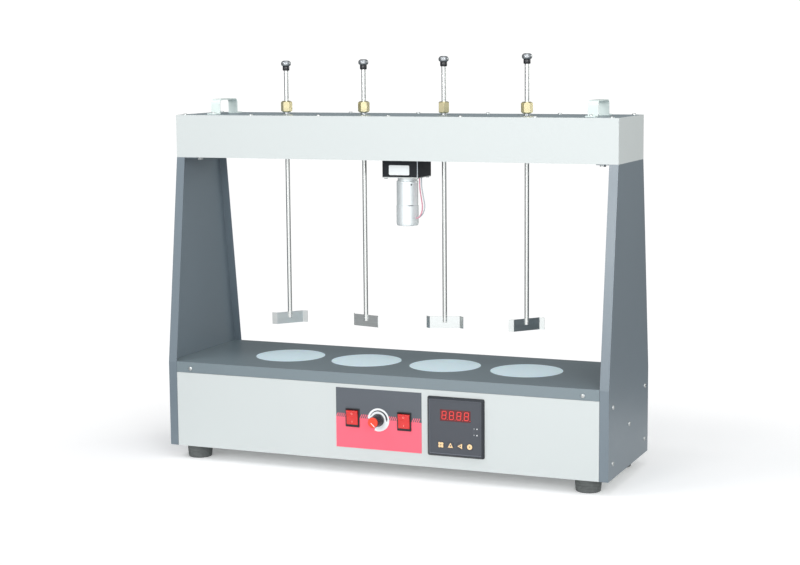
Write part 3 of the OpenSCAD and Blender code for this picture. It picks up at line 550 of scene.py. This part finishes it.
def motor_lead(name, route, material):
    """One insulated lead, from the motor's side up to the gearbox."""
    points = [Vector(p) * MM for p in route]
    curve = bpy.data.curves.new(name, "CURVE")
    curve.dimensions = "3D"
    curve.bevel_depth = LEAD_ACROSS / 2
    curve.bevel_resolution = 4
    curve.use_fill_caps = True
    curve.resolution_u = 8
    spline = curve.splines.new("BEZIER")
    spline.bezier_points.add(len(points) - 1)
    for knot, point in zip(spline.bezier_points, points):
        knot.co = point
        knot.handle_left_type = "AUTO"
        knot.handle_right_type = "AUTO"
    curve.materials.append(material)
    piece = bpy.data.objects.new(name, curve)
    bpy.context.scene.collection.objects.link(piece)
    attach(piece, "cabinet")
    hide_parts("motor_leads")


motor_lead("motor_lead_red", RED_ROUTE, LEAD_RED)
motor_lead("motor_lead_grey", GREY_ROUTE, LEAD_GREY)


# ---------- CAD nodes that keep their own shape ----------

SHEET_EDGE = 0.7 * MM
FINE_EDGE = 0.3 * MM
PADDLE_EDGE = 0.1 * MM
NUT_EDGE_ANGLE = 20
STATIONS = range(1, 5)
KEYS = range(1, 5)
PLAIN_NODES = {
    "base_tray": (LIGHT_PAINT, SHEET_EDGE), "front_panel": (LIGHT_PAINT, FINE_EDGE),
    "deck_cover": (DECK_PAINT, FINE_EDGE), "side_panel_left": (DARK_PAINT, SHEET_EDGE),
    "side_panel_right": (DARK_PAINT, SHEET_EDGE), "light_windows": (OPAL, 0),
    "lamp_tube": (LAMP_GLASS, 0), "lamp_holders": (WHITE_PLASTIC, FINE_EDGE),
    "head_shell": (LIGHT_PAINT, SHEET_EDGE), "head_cover": (COVER_PAINT, FINE_EDGE),
    "carry_handles": (HANDLE_PAINT, FINE_EDGE), "bearing_housings": (CAST_ALLOY, FINE_EDGE),
    "housing_bolts": (ZINC, FINE_EDGE), "idler_studs": (TURNED_STEEL, 0),
    "gearbox_case": (GEARBOX_PAINT, FINE_EDGE), "gearbox_plate": (ZINC, FINE_EDGE),
    "drive_gear": (GEAR_NYLON, 0), "output_shaft": (TURNED_STEEL, 0),
    "idler_gear_1": (GEAR_NYLON, 0), "idler_gear_2": (GEAR_NYLON, 0),
    "control_overlay": (OVERLAY_DARK, 0), "switch_housings": (BLACK_PLASTIC, FINE_EDGE),
    "speed_control": (BOARD_GREEN, 0), "meter_case": (METER_PLASTIC, FINE_EDGE),
    "power_gland": (BLACK_PLASTIC, FINE_EDGE),
}
for node, (material, edge) in PLAIN_NODES.items():
    finish_node(node, material, edge)
for k in STATIONS:
    finish_node(f"spindle_{k}", TURNED_STEEL)
    finish_node(f"spindle_gear_{k}", GEAR_NYLON)
    finish_node(f"collet_nut_{k}", BRASS, FINE_EDGE, angle=NUT_EDGE_ANGLE)
    finish_node(f"stirrer_rod_{k}", STAINLESS_ROD)
    finish_node(f"paddle_{k}", STAINLESS_PLATE, PADDLE_EDGE)
for k in KEYS:
    finish_node(f"meter_key_{k}", METER_PLASTIC, FINE_EDGE)


# ---------- screws with a cross recess ----------

SCREW_STEPS = 28
SCREW_TALL = 2.2 * MM
SCREW_SINK = 1.0 * MM      # how far the head's skirt goes on below its seat
# The dome, as shares of the head's radius and of its height below the tip
SCREW_DOME = ((1.0, 0.62), (0.93, 0.35), (0.74, 0.12), (0.42, 0.02), (0.12, 0.0))
SCREW_TURN = 2.4           # radians from one cross recess to the next
RECESS_REACH = 0.62        # of the radius
RECESS_WIDE = 0.13         # of the radius, to each side
RECESS_DEEP = 0.6          # of the head's height
BOX_FACES = ((3, 2, 1, 0), (4, 5, 6, 7), (0, 1, 5, 4), (1, 2, 6, 5), (2, 3, 7, 6),
             (3, 0, 4, 7))


def screw_places():
    """Seat, outward direction and radius of each screw head, read from the CAD node."""
    places = []
    for low, high in islands("case_screws"):
        size = high - low
        middle = (low + high) / 2
        axis = max(range(3), key=lambda i: size[i])
        outward = Vector((0, 0, 0))
        outward[axis] = 1 if axis == 2 or middle[axis] > 0 else -1
        tip = middle + outward * size[axis] / 2
        radius = min(size[i] for i in range(3) if i != axis) / 2
        places.append((tip, outward, radius))
    return places


def make_screws():
    """All the case screws: domed heads with a cross recess cut into each."""
    verts, faces, cut_verts, cut_faces = [], [], [], []
    for index, (tip, outward, radius) in enumerate(screw_places()):
        dome = [(radius, -SCREW_TALL - SCREW_SINK)]
        dome += [(radius * share, -SCREW_TALL * down) for share, down in SCREW_DOME]
        turn = outward.to_track_quat("Z", "Y").to_matrix().to_4x4()
        spin = Matrix.Rotation(index * SCREW_TURN, 4, "Z")
        place = Matrix.Translation(tip) @ turn @ spin
        more_verts, more_faces = lathe(dome, SCREW_STEPS, len(verts))
        verts += [place @ v for v in more_verts]
        faces += more_faces
        reach, wide = radius * RECESS_REACH, radius * RECESS_WIDE
        for length, width in ((reach, wide), (wide, reach)):
            start = len(cut_verts)
            corners = [(-length, -width), (length, -width), (length, width), (-length, width)]
            box = [Vector((x, y, z)) for z in (-SCREW_TALL * RECESS_DEEP, SCREW_TALL)
                   for x, y in corners]
            cut_verts += [place @ v for v in box]
            cut_faces += [[start + i for i in quad] for quad in BOX_FACES]
    heads = add_piece("screw_heads", verts, faces, ZINC, "cabinet")
    cutter_mesh = bpy.data.meshes.new("recess")
    cutter_mesh.from_pydata([tuple(v) for v in cut_verts], [], cut_faces)
    cutter = bpy.data.objects.new("recess", cutter_mesh)
    bpy.context.scene.collection.objects.link(cutter)
    carve = heads.modifiers.new("carve", "BOOLEAN")
    carve.operation = "DIFFERENCE"
    carve.solver = "EXACT"
    carve.use_self = True
    carve.object = cutter
    bpy.context.view_layer.update()
    carved = bpy.data.meshes.new_from_object(
        heads.evaluated_get(bpy.context.evaluated_depsgraph_get()))
    heads.modifiers.clear()
    heads.data = carved
    bpy.data.objects.remove(cutter)
    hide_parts("case_screws")


make_screws()


# ---------- feet ----------

FOOT_TAPER = 2 * MM        # how much the radius grows from the bench to the tray
FOOT_EDGE = 1.2 * MM
FOOT_RIM = 4 * MM          # from the side in to the hollow underneath
HOLLOW_SLOPE = 1 * MM
FOOT_TOP_EDGE = 0.8 * MM
GROOVE_PLACES = (0.3, 0.5, 0.7)     # of the foot's height
GROOVE_HALF = 0.7 * MM
GROOVE_DEEP = 0.6 * MM


def make_feet():
    """Four tapered rubber feet with grooves and a hollow underside."""
    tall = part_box("base_tray")[0][2]
    for index, (low, high) in enumerate(islands("rubber_feet"), 1):
        radius = (high.x - low.x) / 2
        base = radius - FOOT_TAPER
        profile = [(base - FOOT_RIM, FOOT_EDGE), (base - FOOT_RIM + HOLLOW_SLOPE, 0),
                   (base - FOOT_EDGE, 0), (base, FOOT_EDGE)]
        for share in GROOVE_PLACES:
            z = tall * share
            out = base + FOOT_TAPER * z / tall
            profile += [(out, z - GROOVE_HALF), (out - GROOVE_DEEP, z), (out, z + GROOVE_HALF)]
        profile += [(radius, tall - FOOT_TOP_EDGE), (radius - FOOT_TOP_EDGE, tall)]
        middle = (low + high) / 2
        foot = turned(f"foot_{index}", profile, Matrix.Translation((middle.x, middle.y, 0)),
                      RUBBER, "cabinet")
        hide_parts("rubber_feet")


make_feet()


# ---------- stirrer caps ----------

COLLAR_TALL = 8 * MM
COLLAR_R = 5.8 * MM
COLLAR_BORE_R = 3.8 * MM
CAP_TOP_R = 0.5 * MM
# Rounded edges in mm: inwards from the radius, and up from the lower end or down from the top
COLLAR_FOOT = ((1.3, 0), (0.5, 0.4), (0.1, 1.1), (0, 2))
COLLAR_SHOULDER = ((0, 0.6), (0.3, 0))
CAP_FOOT = ((2, 0), (1, 0.6), (0.3, 1.7), (0, 3))
CAP_SHOULDER = ((0, 4.2), (0.3, 3.1), (0.9, 2.1), (1.8, 1.2), (2.8, 0.5), (4, 0.1), (5.2, 0))


def make_rod_cap(k):
    """Bright cap and black collar at the top of one rod."""
    low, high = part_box(f"rod_cap_{k}")
    x, y = (low[0] + high[0]) / 2, (low[1] + high[1]) / 2
    radius = (high[0] - low[0]) / 2
    top, bottom = high[2], low[2]
    body = f"stirrer_{k}"
    seat = bottom + COLLAR_TALL
    collar = [(COLLAR_BORE_R, bottom)]
    collar += [(COLLAR_R - inset * MM, bottom + up * MM) for inset, up in COLLAR_FOOT]
    collar += [(COLLAR_R - inset * MM, seat - down * MM) for inset, down in COLLAR_SHOULDER]
    collar.append((COLLAR_BORE_R, seat))
    centre = Matrix.Translation((x, y, 0))
    lower = turned(f"cap_collar_{k}", collar, centre, COLLAR_BLACK, body)
    cap = [(COLLAR_R - COLLAR_SHOULDER[-1][0] * MM, seat)]
    cap += [(radius - inset * MM, seat + up * MM) for inset, up in CAP_FOOT]
    cap += [(radius - inset * MM, top - down * MM) for inset, down in CAP_SHOULDER]
    cap.append((CAP_TOP_R, top))
    upper = turned(f"cap_{k}", cap, centre, CHROME, body, smooth_angle=40)
    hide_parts(f"rod_cap_{k}")
    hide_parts(f"rod_cap_{k}")


for k in STATIONS:
    make_rod_cap(k)


# ---------- motor, gearbox label and painted corner highlight ---

MOTOR_RING_SHARE = 0.45     # of the motor's length is inside the flux ring
MOTOR_NECK = 6 * MM         # from the shoulder up to the gearbox's plate
MOTOR_RING_THICK = 0.5 * MM
# Steps of the can's outline in mm: inwards from the can's radius, and upwards
MOTOR_END = ((2, 0), (0.5, 0.6), (0, 1.6), (0, 3), (-0.5, 3.3))
MOTOR_RING_STEP = ((-0.5, -0.3), (0, 0), (0.5, 0.3), (0.5, 0.8), (0, 1.1))
MOTOR_SHOULDER = ((0, -4.6), (0.3, -4.2), (0, -3.8), (0, -1.2), (0.4, -0.4), (1.2, 0), (2, 0))
MOTOR_EYE = ((4.5, 1.2), (5.2, 0))      # radius and rise of the hole in the lower end
MOTOR_MARK_SINK = 0.3 * MM
HOLE_TURN, HOLE_DOWN, HOLE_R = -46, 6 * MM, 1.4 * MM
SEAM_TURN, SEAM_UP, SEAM_HALF_W, SEAM_HALF_H = -50, 0.4 * MM, 5.2 * MM, 0.45 * MM

LABEL_RIGHT, LABEL_UP = 30.6 * MM, 11.5 * MM    # its middle, from the case's lower left corner
LABEL_WIDE, LABEL_TALL, LABEL_CORNER = 36.4 * MM, 16.3 * MM, 2 * MM
LABEL_THICK = 0.15 * MM
# The strip paints the highlight where the case's front right corner catches the light.
STRIP_IN = 1.1 * MM         # from the case's right edge to the middle of the strip
STRIP_HALF = 0.8 * MM
STRIP_THICK = 0.3 * MM


def make_motor():
    """The motor's can with its flux ring, a dark seam in its side, and a dark disc that paints the
    shade of a small hole there.
    """
    low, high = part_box("motor_can")
    x, y = (low[0] + high[0]) / 2, (low[1] + high[1]) / 2
    can_r = (high[0] - low[0]) / 2 - MOTOR_RING_THICK
    bottom, plate = low[2], high[2]
    shoulder = plate - MOTOR_NECK
    ring_top = bottom + MOTOR_RING_SHARE * (shoulder - bottom)
    profile = [(radius * MM, bottom + up * MM) for radius, up in MOTOR_EYE]
    for level, steps in ((bottom, MOTOR_END), (ring_top, MOTOR_RING_STEP),
                         (shoulder, MOTOR_SHOULDER)):
        profile += [(can_r - inset * MM, level + up * MM) for inset, up in steps]
    profile.append((can_r - MOTOR_SHOULDER[-1][0] * MM, plate))
    motor = turned("motor", profile, Matrix.Translation((x, y, 0)), MOTOR_ALLOY, "cabinet",
                   steps=96)
    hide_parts("motor_can")
    # The hole is not cut: a dark disc stands for it and paints the shade inside it.
    marks = (("motor_hole", HOLE_TURN, shoulder - HOLE_DOWN, HOLE_R, HOLE_R),
             ("motor_seam", SEAM_TURN, ring_top + SEAM_UP, SEAM_HALF_W, SEAM_HALF_H))
    outline = circle(0, 0, 1, steps=20)
    for name, turn, z, half_wide, half_tall in marks:
        verts = []
        for reach in (can_r + MARK_LIFT, can_r - MOTOR_MARK_SINK):
            for u, v in outline:
                angle = math.radians(turn) + u * half_wide / can_r
                verts.append((x + reach * math.cos(angle), y + reach * math.sin(angle),
                              z + v * half_tall))
        add_piece(name, verts, prism_faces(len(outline)), DARK_INK_AND_HOLE_SHADE, "cabinet")


def make_gearbox_label_and_highlight():
    """The blank label, and a bright strip near the front's right edge that paints the highlight on
    the case's corner.
    """
    low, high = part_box("gearbox_case")
    front = low[1]
    label = rounded(low[0] + LABEL_RIGHT, low[2] + LABEL_UP, LABEL_WIDE, LABEL_TALL,
                    LABEL_CORNER)
    prisms("gearbox_label", [label], front - LABEL_THICK, front, WHITE_INK, "cabinet")
    strip_x = high[0] - STRIP_IN
    left, right = strip_x - STRIP_HALF, strip_x + STRIP_HALF
    top = high[2] - STRIP_THICK
    strip = [(left, low[2]), (right, low[2]), (right, top), (left, top)]
    prisms("gearbox_corner_highlight", [strip], front - STRIP_THICK, front + BEDDED, CORNER_HIGHLIGHT_GREY,
           "cabinet")


make_motor()
make_gearbox_label_and_highlight()


# ---------- control overlay: printed fields and the dial ----------

overlay_low, overlay_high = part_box("control_overlay")
OVERLAY_Y = overlay_low[1]
OVERLAY_X = (overlay_low[0] + overlay_high[0]) / 2
OVERLAY_Z = (overlay_low[2] + overlay_high[2]) / 2
HATCH_LOW = OVERLAY_Z + 0.6 * MM
HATCH_TALL = 6.6 * MM
HATCH_LEAN = 3.2 * MM
HATCH_COUNT = 42
HATCH_SHARE = 0.44          # of the pitch is red


def make_overlay_print():
    """The red field below the middle and the slanted hatching along its upper edge."""
    left, right = overlay_low[0], overlay_high[0]
    openings = []
    for low, high in islands("switch_housings"):
        openings.append((low.x, high.x, low.z, high.z))
    openings.sort()
    xs = [left] + [edge for box in openings for edge in box[:2]] + [right]
    fields = []
    for index, (a, b) in enumerate(zip(xs, xs[1:])):
        if index % 2 == 0:
            fields.append([(a, overlay_low[2]), (b, overlay_low[2]), (b, HATCH_LOW),
                           (a, HATCH_LOW)])
        else:
            sill = openings[index // 2][2]
            fields.append([(a, overlay_low[2]), (b, overlay_low[2]), (b, sill), (a, sill)])
    pitch = (right - left - HATCH_LEAN) / HATCH_COUNT
    for i in range(HATCH_COUNT):
        x = left + i * pitch
        if any(a - pitch < x < b - HATCH_LEAN / 2 for a, b, _, _ in openings):
            continue
        top = HATCH_LOW + HATCH_TALL
        wide = pitch * HATCH_SHARE
        fields.append([(x, HATCH_LOW), (x + wide, HATCH_LOW), (x + wide + HATCH_LEAN, top),
                       (x + HATCH_LEAN, top)])
    prisms("overlay_red_print", fields, OVERLAY_Y - PRINT, OVERLAY_Y, OVERLAY_RED, "cabinet")


DIAL_INNER, DIAL_R = 9 * MM, 19.2 * MM
DIAL_FROM, DIAL_TO = -113, 176                  # degrees
ARROW_FROM, ARROW_TO, ARROW_TIP = 156, 6, -10   # degrees
ARROW_INNER = (14.7 * MM, 13.2 * MM)            # radius at the tail and at the head
ARROW_OUTER = (15.6 * MM, 16.3 * MM)
ARROW_TIP_R = 15.0 * MM
RING_LIFT, ARROW_LIFT = 2.4 * PRINT, 3.6 * PRINT


def make_dial():
    """White ring round the knob, open at the lower left, with an arrow that widens."""
    ring = arc_band(OVERLAY_X, OVERLAY_Z, DIAL_INNER, DIAL_R, DIAL_FROM, DIAL_TO, steps=96)
    prisms("dial_ring", [ring], OVERLAY_Y - RING_LIFT, OVERLAY_Y, WHITE_INK, "cabinet")
    arrow = arc_band(OVERLAY_X, OVERLAY_Z, ARROW_INNER, ARROW_OUTER, ARROW_FROM, ARROW_TO,
                     steps=64)
    tip = [(OVERLAY_X + r * math.cos(math.radians(a)), OVERLAY_Z + r * math.sin(math.radians(a)))
           for r, a in ((ARROW_INNER[1], ARROW_TO), (ARROW_OUTER[1], ARROW_TO),
                        (ARROW_TIP_R, ARROW_TIP))]
    prisms("dial_arrow", [arrow, tip], OVERLAY_Y - ARROW_LIFT, OVERLAY_Y - RING_LIFT,
           DARK_INK_AND_HOLE_SHADE, "cabinet")


KNOB_CLEAR = 0.7 * MM       # gap between the knob's skirt and the overlay
KNOB_FLUTES = 18
FLUTE_STEPS = 8
FLUTE_DEEP = 1.2 * MM
FLUTE_POWER = 0.7           # below 1 it widens the flutes
# Rings of the knob in mm: distance from its back or front, inwards from its radius, fluting
KNOB_SKIRT = ((0.0, 0.3, 0), (0.4, 0, 0), (3.6, 0, 0), (4.2, 1.0, 0.2), (5.0, 1.0, 1))
KNOB_NOSE = ((4.0, 1.4, 1), (3.2, 1.6, 0.6), (2.7, 2.0, 0))
KNOB_CAP_R = 8.5 * MM
# Edge of the cap in mm: inwards from its radius, back from the knob's front
KNOB_CAP_EDGE = ((0, 2.8), (0, 0.7), (0.25, 0.25), (0.8, 0.05), (1.4, 0.12))
KNOB_CAP_MIDDLE = (0.6 * MM, 0.3 * MM)      # radius and depth
POINTER_FROM, POINTER_TO = Vector((-2.9, -0.6)) * MM, Vector((3.6, -6.8)) * MM
POINTER_HALF = 0.6 * MM
POINTER_THICK = 0.35 * MM


def make_knob():
    """The fluted knob, its orange cap and the white pointer line."""
    low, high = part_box("speed_knob")
    radius = (high[0] - low[0]) / 2
    front = low[1]
    back = OVERLAY_Y - KNOB_CLEAR
    thick = back - front
    steps = KNOB_FLUTES * FLUTE_STEPS
    levels = [(up * MM, radius - inset * MM, fluted) for up, inset, fluted in KNOB_SKIRT]
    levels += [(thick - down * MM, radius - inset * MM, fluted)
               for down, inset, fluted in KNOB_NOSE]
    verts = []
    for depth, size, fluted in levels:
        for i in range(steps):
            angle = TAU * i / steps
            wave = max(0.0, math.cos(KNOB_FLUTES * angle)) ** FLUTE_POWER
            r = size - fluted * FLUTE_DEEP * wave
            verts.append((OVERLAY_X + r * math.cos(angle), back - depth,
                          OVERLAY_Z + r * math.sin(angle)))
    faces = []
    for ring in range(len(levels) - 1):
        for i in range(steps):
            a, b = ring * steps + i, ring * steps + (i + 1) % steps
            faces.append([a, b, b + steps, a + steps])
    faces.append(list(range(steps)))
    faces.append([(len(levels) - 1) * steps + i for i in range(steps)])
    knob = add_piece("knob_body", verts, faces, KNOB_PLASTIC, "knob")
    cap = [(KNOB_CAP_R - inset * MM, thick - down * MM) for inset, down in KNOB_CAP_EDGE]
    cap.append((KNOB_CAP_MIDDLE[0], thick - KNOB_CAP_MIDDLE[1]))
    top = turned("knob_cap", cap, facing_front(OVERLAY_X, back, OVERLAY_Z), KNOB_ORANGE,
                 "knob")
    along = (POINTER_TO - POINTER_FROM).normalized()
    across = Vector((-along.y, along.x)) * POINTER_HALF
    line = [(OVERLAY_X + p.x, OVERLAY_Z + p.y)
            for p in (POINTER_FROM - across, POINTER_TO - across, POINTER_TO + across,
                      POINTER_FROM + across)]
    prisms("knob_pointer", [line], front, front + POINTER_THICK, WHITE_INK, "knob")
    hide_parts("speed_knob")
    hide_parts("speed_knob")


make_overlay_print()
make_dial()
make_knob()


# ---------- rocker switches ----------

ROCKER_REST = math.radians(6)
ROCKER_HALF_W, ROCKER_HALF_H = 10.0 * MM, 11.8 * MM
ROCKER_OUT = 6.6 * MM       # from the pivot to the ends of the face
ROCKER_DISH = 1.2 * MM      # how far the middle of the face is drawn in
ROCKER_DISH_POWER = 0.75
ROCKER_ROWS = 24
ROCKER_SKIRT = 2.5 * MM     # from the pivot forward to where the ends start
ROCKER_BACK, ROCKER_BACK_HALF = 3 * MM, 5 * MM
ROCKER_EDGE = 0.6 * MM
ROCKER_MARK_SINK = 0.1 * MM
BAR_HALF, BAR_LOW, BAR_HIGH = 0.4 * MM, -8.4 * MM, -5.2 * MM
RING_Z, RING_INNER, RING_OUTER = 6.6 * MM, 1.0 * MM, 1.6 * MM


def rocker_face(z):
    """Where the dished face lies at a height above the pivot."""
    return -ROCKER_OUT + ROCKER_DISH * (1 - abs(z) / ROCKER_HALF_H) ** ROCKER_DISH_POWER


def rocker_mark(name, outlines, tilt, body):
    """A mark that follows the dished face."""
    verts, faces = [], []
    for outline in outlines:
        faces += prism_faces(len(outline), len(verts))
        verts += [tilt @ Vector((x, rocker_face(z) - lift, z))
                  for lift in (MARK_LIFT, -ROCKER_MARK_SINK) for x, z in outline]
    add_piece(name, verts, faces, PINK_INK, body)


def make_rocker(side):
    """A red rocker, tilted as it rests, with its two plain marks."""
    body = f"{side}_rocker"
    joint = next(j for j in frame["joints"] if j["name"] == f"{side}_rocker_tilt")
    tilt = Matrix.Translation(joint["pos_m"]) @ Matrix.Rotation(ROCKER_REST, 4, "X")
    heights = [(-1 + 2 * i / ROCKER_ROWS) * ROCKER_HALF_H for i in range(ROCKER_ROWS + 1)]
    outline = [(ROCKER_BACK, -ROCKER_BACK_HALF), (-ROCKER_SKIRT, -ROCKER_HALF_H)]
    outline += [(rocker_face(z), z) for z in heights]
    outline += [(-ROCKER_SKIRT, ROCKER_HALF_H), (ROCKER_BACK, ROCKER_BACK_HALF)]
    verts = [tilt @ Vector((x, y, z)) for x in (-ROCKER_HALF_W, ROCKER_HALF_W)
             for y, z in outline]
    rocker = add_piece(f"rocker_{side}_lens", verts, prism_faces(len(outline)), ROCKER_RED,
                       body, smooth_angle=40)
    round_edges(rocker, ROCKER_EDGE, segments=3, angle=50)
    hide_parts(f"rocker_{side}")
    bar = [(-BAR_HALF, BAR_LOW), (BAR_HALF, BAR_LOW), (BAR_HALF, BAR_HIGH),
           (-BAR_HALF, BAR_HIGH)]
    rocker_mark(f"rocker_{side}_on_mark", [bar], tilt, body)
    halves = [arc_band(0, RING_Z, RING_INNER, RING_OUTER, start, start + 180, steps=14)
              for start in (0, 180)]
    rocker_mark(f"rocker_{side}_off_mark", halves, tilt, body)


for side in ("left", "right"):
    make_rocker(side)


# ---------- panel meter ----------

meter_low, meter_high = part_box("meter_case")
METER_X = (meter_low[0] + meter_high[0]) / 2
METER_Z = (meter_low[2] + meter_high[2]) / 2
FACE_Y = meter_low[1] + 1.2 * MM
PANEL_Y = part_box("front_panel")[0][1]
LENS_X, LENS_Z = METER_X, METER_Z + 19.3 * MM
LENS_W, LENS_H = 52.5 * MM, 19 * MM
LENS_CORNER, LENS_EDGE = 1 * MM, 0.15 * MM
LENS_PROUD, LENS_SINK = 0.3 * MM, 0.5 * MM

DIGIT_COUNT = 4
DIGIT_PITCH = 12.8 * MM
DIGIT_W, DIGIT_H, DIGIT_STROKE = 7.8 * MM, 13.6 * MM, 1.05 * MM
DIGIT_PROUD = 0.36 * MM
DIGIT_LEAN = 0.06
SEGMENT_GAP = 0.12          # at each end, as a share of the stroke
POINT_RIGHT, POINT_DOWN, POINT_R = 6.2 * MM, 6.9 * MM, 0.55 * MM

LAMP_LEVELS = (0.2 * MM, -10.1 * MM)        # from the middle of the meter
LAMP_X, LAMP_R, LAMP_PROUD = 37.2 * MM, 1.0 * MM, 0.4 * MM
TICK_X, TICK_W, TICK_H, TICK_CORNER = 32.2 * MM, 0.5 * MM, 2.2 * MM, 0.2 * MM

RIM_SKIN = 0.12 * MM
RIM_SLOPE = 2.6 * MM        # width of the rim's slanted face
RIM_FLAT = 0.7 * MM         # both flats inside the slanted face together
WELL_IN = 5 * RIM_FLAT      # from the slanted face to the well, both sides together
RIM_CORNER, WELL_CORNER = 2.5 * MM, 1.5 * MM
RIM_OFF_PANEL = 2 * MM
GASKET_OUT, GASKET_IN, GASKET_THICK = 1.6 * MM, 2 * MM, 1.4 * MM
GASKET_CORNER, GASKET_HOLE_CORNER = 3 * MM, 2 * MM


def digit(x, z, width, height, thick):
    """Outlines of the seven segments of one digit whose middle is at (x, z)."""
    gap = thick * SEGMENT_GAP
    w, h = width / 2, height / 2
    t = thick / 2

    def bar(cx, cz, length, flat):
        ends = length / 2 - gap
        shape = [(-ends, 0), (-ends + t, t), (ends - t, t), (ends, 0), (ends - t, -t),
                 (-ends + t, -t)]
        if not flat:
            shape = [(-b, a) for a, b in shape]
        return [(x + cx + a + DIGIT_LEAN * (cz + b), z + cz + b) for a, b in shape]

    flats = [bar(0, dz, 2 * (w - t), True) for dz in (h - t, 0, -(h - t))]
    reach = (h - t) / 2
    posts = [bar(dx, dz, h - t, False) for dx in (t - w, w - t) for dz in (reach, -reach)]
    return flats + posts


def frame_strip(name, rings, material):
    """A closed band between square outlines round the meter, each (width, corner, y)."""
    outlines = [rounded(METER_X, METER_Z, width, width, corner) for width, corner, _ in rings]
    count = len(outlines[0])
    verts = [(x, y, z) for outline, (_, _, y) in zip(outlines, rings) for x, z in outline]
    faces = []
    for ring in range(len(rings)):
        a, b = ring * count, (ring + 1) % len(rings) * count
        faces += [[a + i, a + (i + 1) % count, b + (i + 1) % count, b + i]
                  for i in range(count)]
    return add_piece(name, verts, faces, material, "cabinet")


def make_meter_rim():
    """The meter's slanted rim in painted shade, the bead inside it in a painted highlight, and the
    gasket behind it.
    """
    wide = meter_high[0] - meter_low[0]
    front = meter_low[1]
    back = PANEL_Y - RIM_OFF_PANEL
    inner = wide - 2 * RIM_SLOPE
    flat = inner - RIM_FLAT
    well = inner - WELL_IN
    frame_strip("meter_rim", [(wide + RIM_SKIN, RIM_CORNER, back),
                              (inner + RIM_SKIN, WELL_CORNER, front - RIM_SKIN),
                              (flat, WELL_CORNER, front - RIM_SKIN),
                              (flat, WELL_CORNER, front + RIM_SKIN),
                              (inner - RIM_SKIN, WELL_CORNER, front + RIM_SKIN),
                              (wide - RIM_SKIN, RIM_CORNER, back)], METER_RIM_PAINTED_SHADE)
    frame_strip("meter_bead", [(flat, WELL_CORNER, front + RIM_SKIN / 2),
                               (well, WELL_CORNER, FACE_Y - RIM_SKIN),
                               (well, WELL_CORNER, FACE_Y + RIM_SKIN),
                               (flat, WELL_CORNER, FACE_Y + RIM_SKIN)], METER_BEAD_PAINTED_HIGHLIGHT)
    outside = (wide + GASKET_OUT, GASKET_CORNER)
    hole = (wide - GASKET_IN, GASKET_HOLE_CORNER)
    gasket_front = PANEL_Y - GASKET_THICK
    frame_strip("meter_gasket", [(*outside, PANEL_Y), (*outside, gasket_front),
                                 (*hole, gasket_front), (*hole, PANEL_Y)], BLACK_PLASTIC)


def make_meter():
    """The display lens, the four figures with their points, and the two small lamps."""
    lens = prisms("meter_lens", [rounded(LENS_X, LENS_Z, LENS_W, LENS_H, LENS_CORNER)],
                  FACE_Y - LENS_PROUD, FACE_Y + LENS_SINK, METER_LENS, "cabinet")
    round_edges(lens, LENS_EDGE)
    segments = []
    for i in range(DIGIT_COUNT):
        x = LENS_X + (i - (DIGIT_COUNT - 1) / 2) * DIGIT_PITCH
        segments += digit(x, LENS_Z, DIGIT_W, DIGIT_H, DIGIT_STROKE)
        segments.append(circle(x + POINT_RIGHT, LENS_Z - POINT_DOWN, POINT_R, steps=16))
    prisms("meter_digits", segments, FACE_Y - DIGIT_PROUD, FACE_Y - LENS_PROUD, DIGIT_RED,
           "cabinet")
    lamps = [circle(METER_X + LAMP_X, METER_Z + dz, LAMP_R, steps=20) for dz in LAMP_LEVELS]
    lamps += [rounded(METER_X + TICK_X, METER_Z + dz, TICK_W, TICK_H, TICK_CORNER)
              for dz in LAMP_LEVELS]
    prisms("meter_lamps", lamps, FACE_Y - LAMP_PROUD, FACE_Y + BEDDED, WHITE_INK, "cabinet")


ICON_HALF = 4.4 * MM
ICON_HOLE_R = 1.0 * MM
SQUARE_TRIM, SQUARE_SHIFT, SQUARE_CORNER = 0.35 * MM, 0.2 * MM, 1.2 * MM
TRIANGLE_FOOT = 0.82        # how far down the triangle reaches, as a share of its half width
TRIANGLE_HOLE = 0.4         # its hole, as a share of its size
KEY_MARK_SINK = 0.02 * MM


def key_icons(k, x, z):
    """Plain marks: a square, an arrow up, an arrow left and a disc."""
    if k == 1:
        arm = ICON_HALF - SQUARE_TRIM
        shift = arm / 2 + SQUARE_SHIFT
        return [rounded(x + sx * shift, z + sz * shift, arm, arm, SQUARE_CORNER)
                for sx in (-1, 1) for sz in (-1, 1)]
    if k == 4:
        return [arc_band(x, z, ICON_HOLE_R, ICON_HALF, start, start + 180, steps=20)
                for start in (0, 180)]
    foot = -ICON_HALF * TRIANGLE_FOOT
    outer = [(0, ICON_HALF), (-ICON_HALF, foot), (ICON_HALF, foot)]
    if k == 3:
        outer = [(-b, a) for a, b in outer]
    inner = [(a * TRIANGLE_HOLE, b * TRIANGLE_HOLE) for a, b in outer]
    return [[(x + p[0], z + p[1]) for p in (outer[i], outer[(i + 1) % 3],
                                            inner[(i + 1) % 3], inner[i])]
            for i in range(3)]


def make_key_marks():
    """The mark printed on each of the meter's keys."""
    for k in KEYS:
        low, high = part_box(f"meter_key_{k}")
        x, z = (low[0] + high[0]) / 2, (low[2] + high[2]) / 2
        prisms(f"key_mark_{k}", key_icons(k, x, z), low[1] - PRINT, low[1] + KEY_MARK_SINK,
               TAN_INK, f"key_{k}")


make_meter()
make_meter_rim()
make_key_marks()
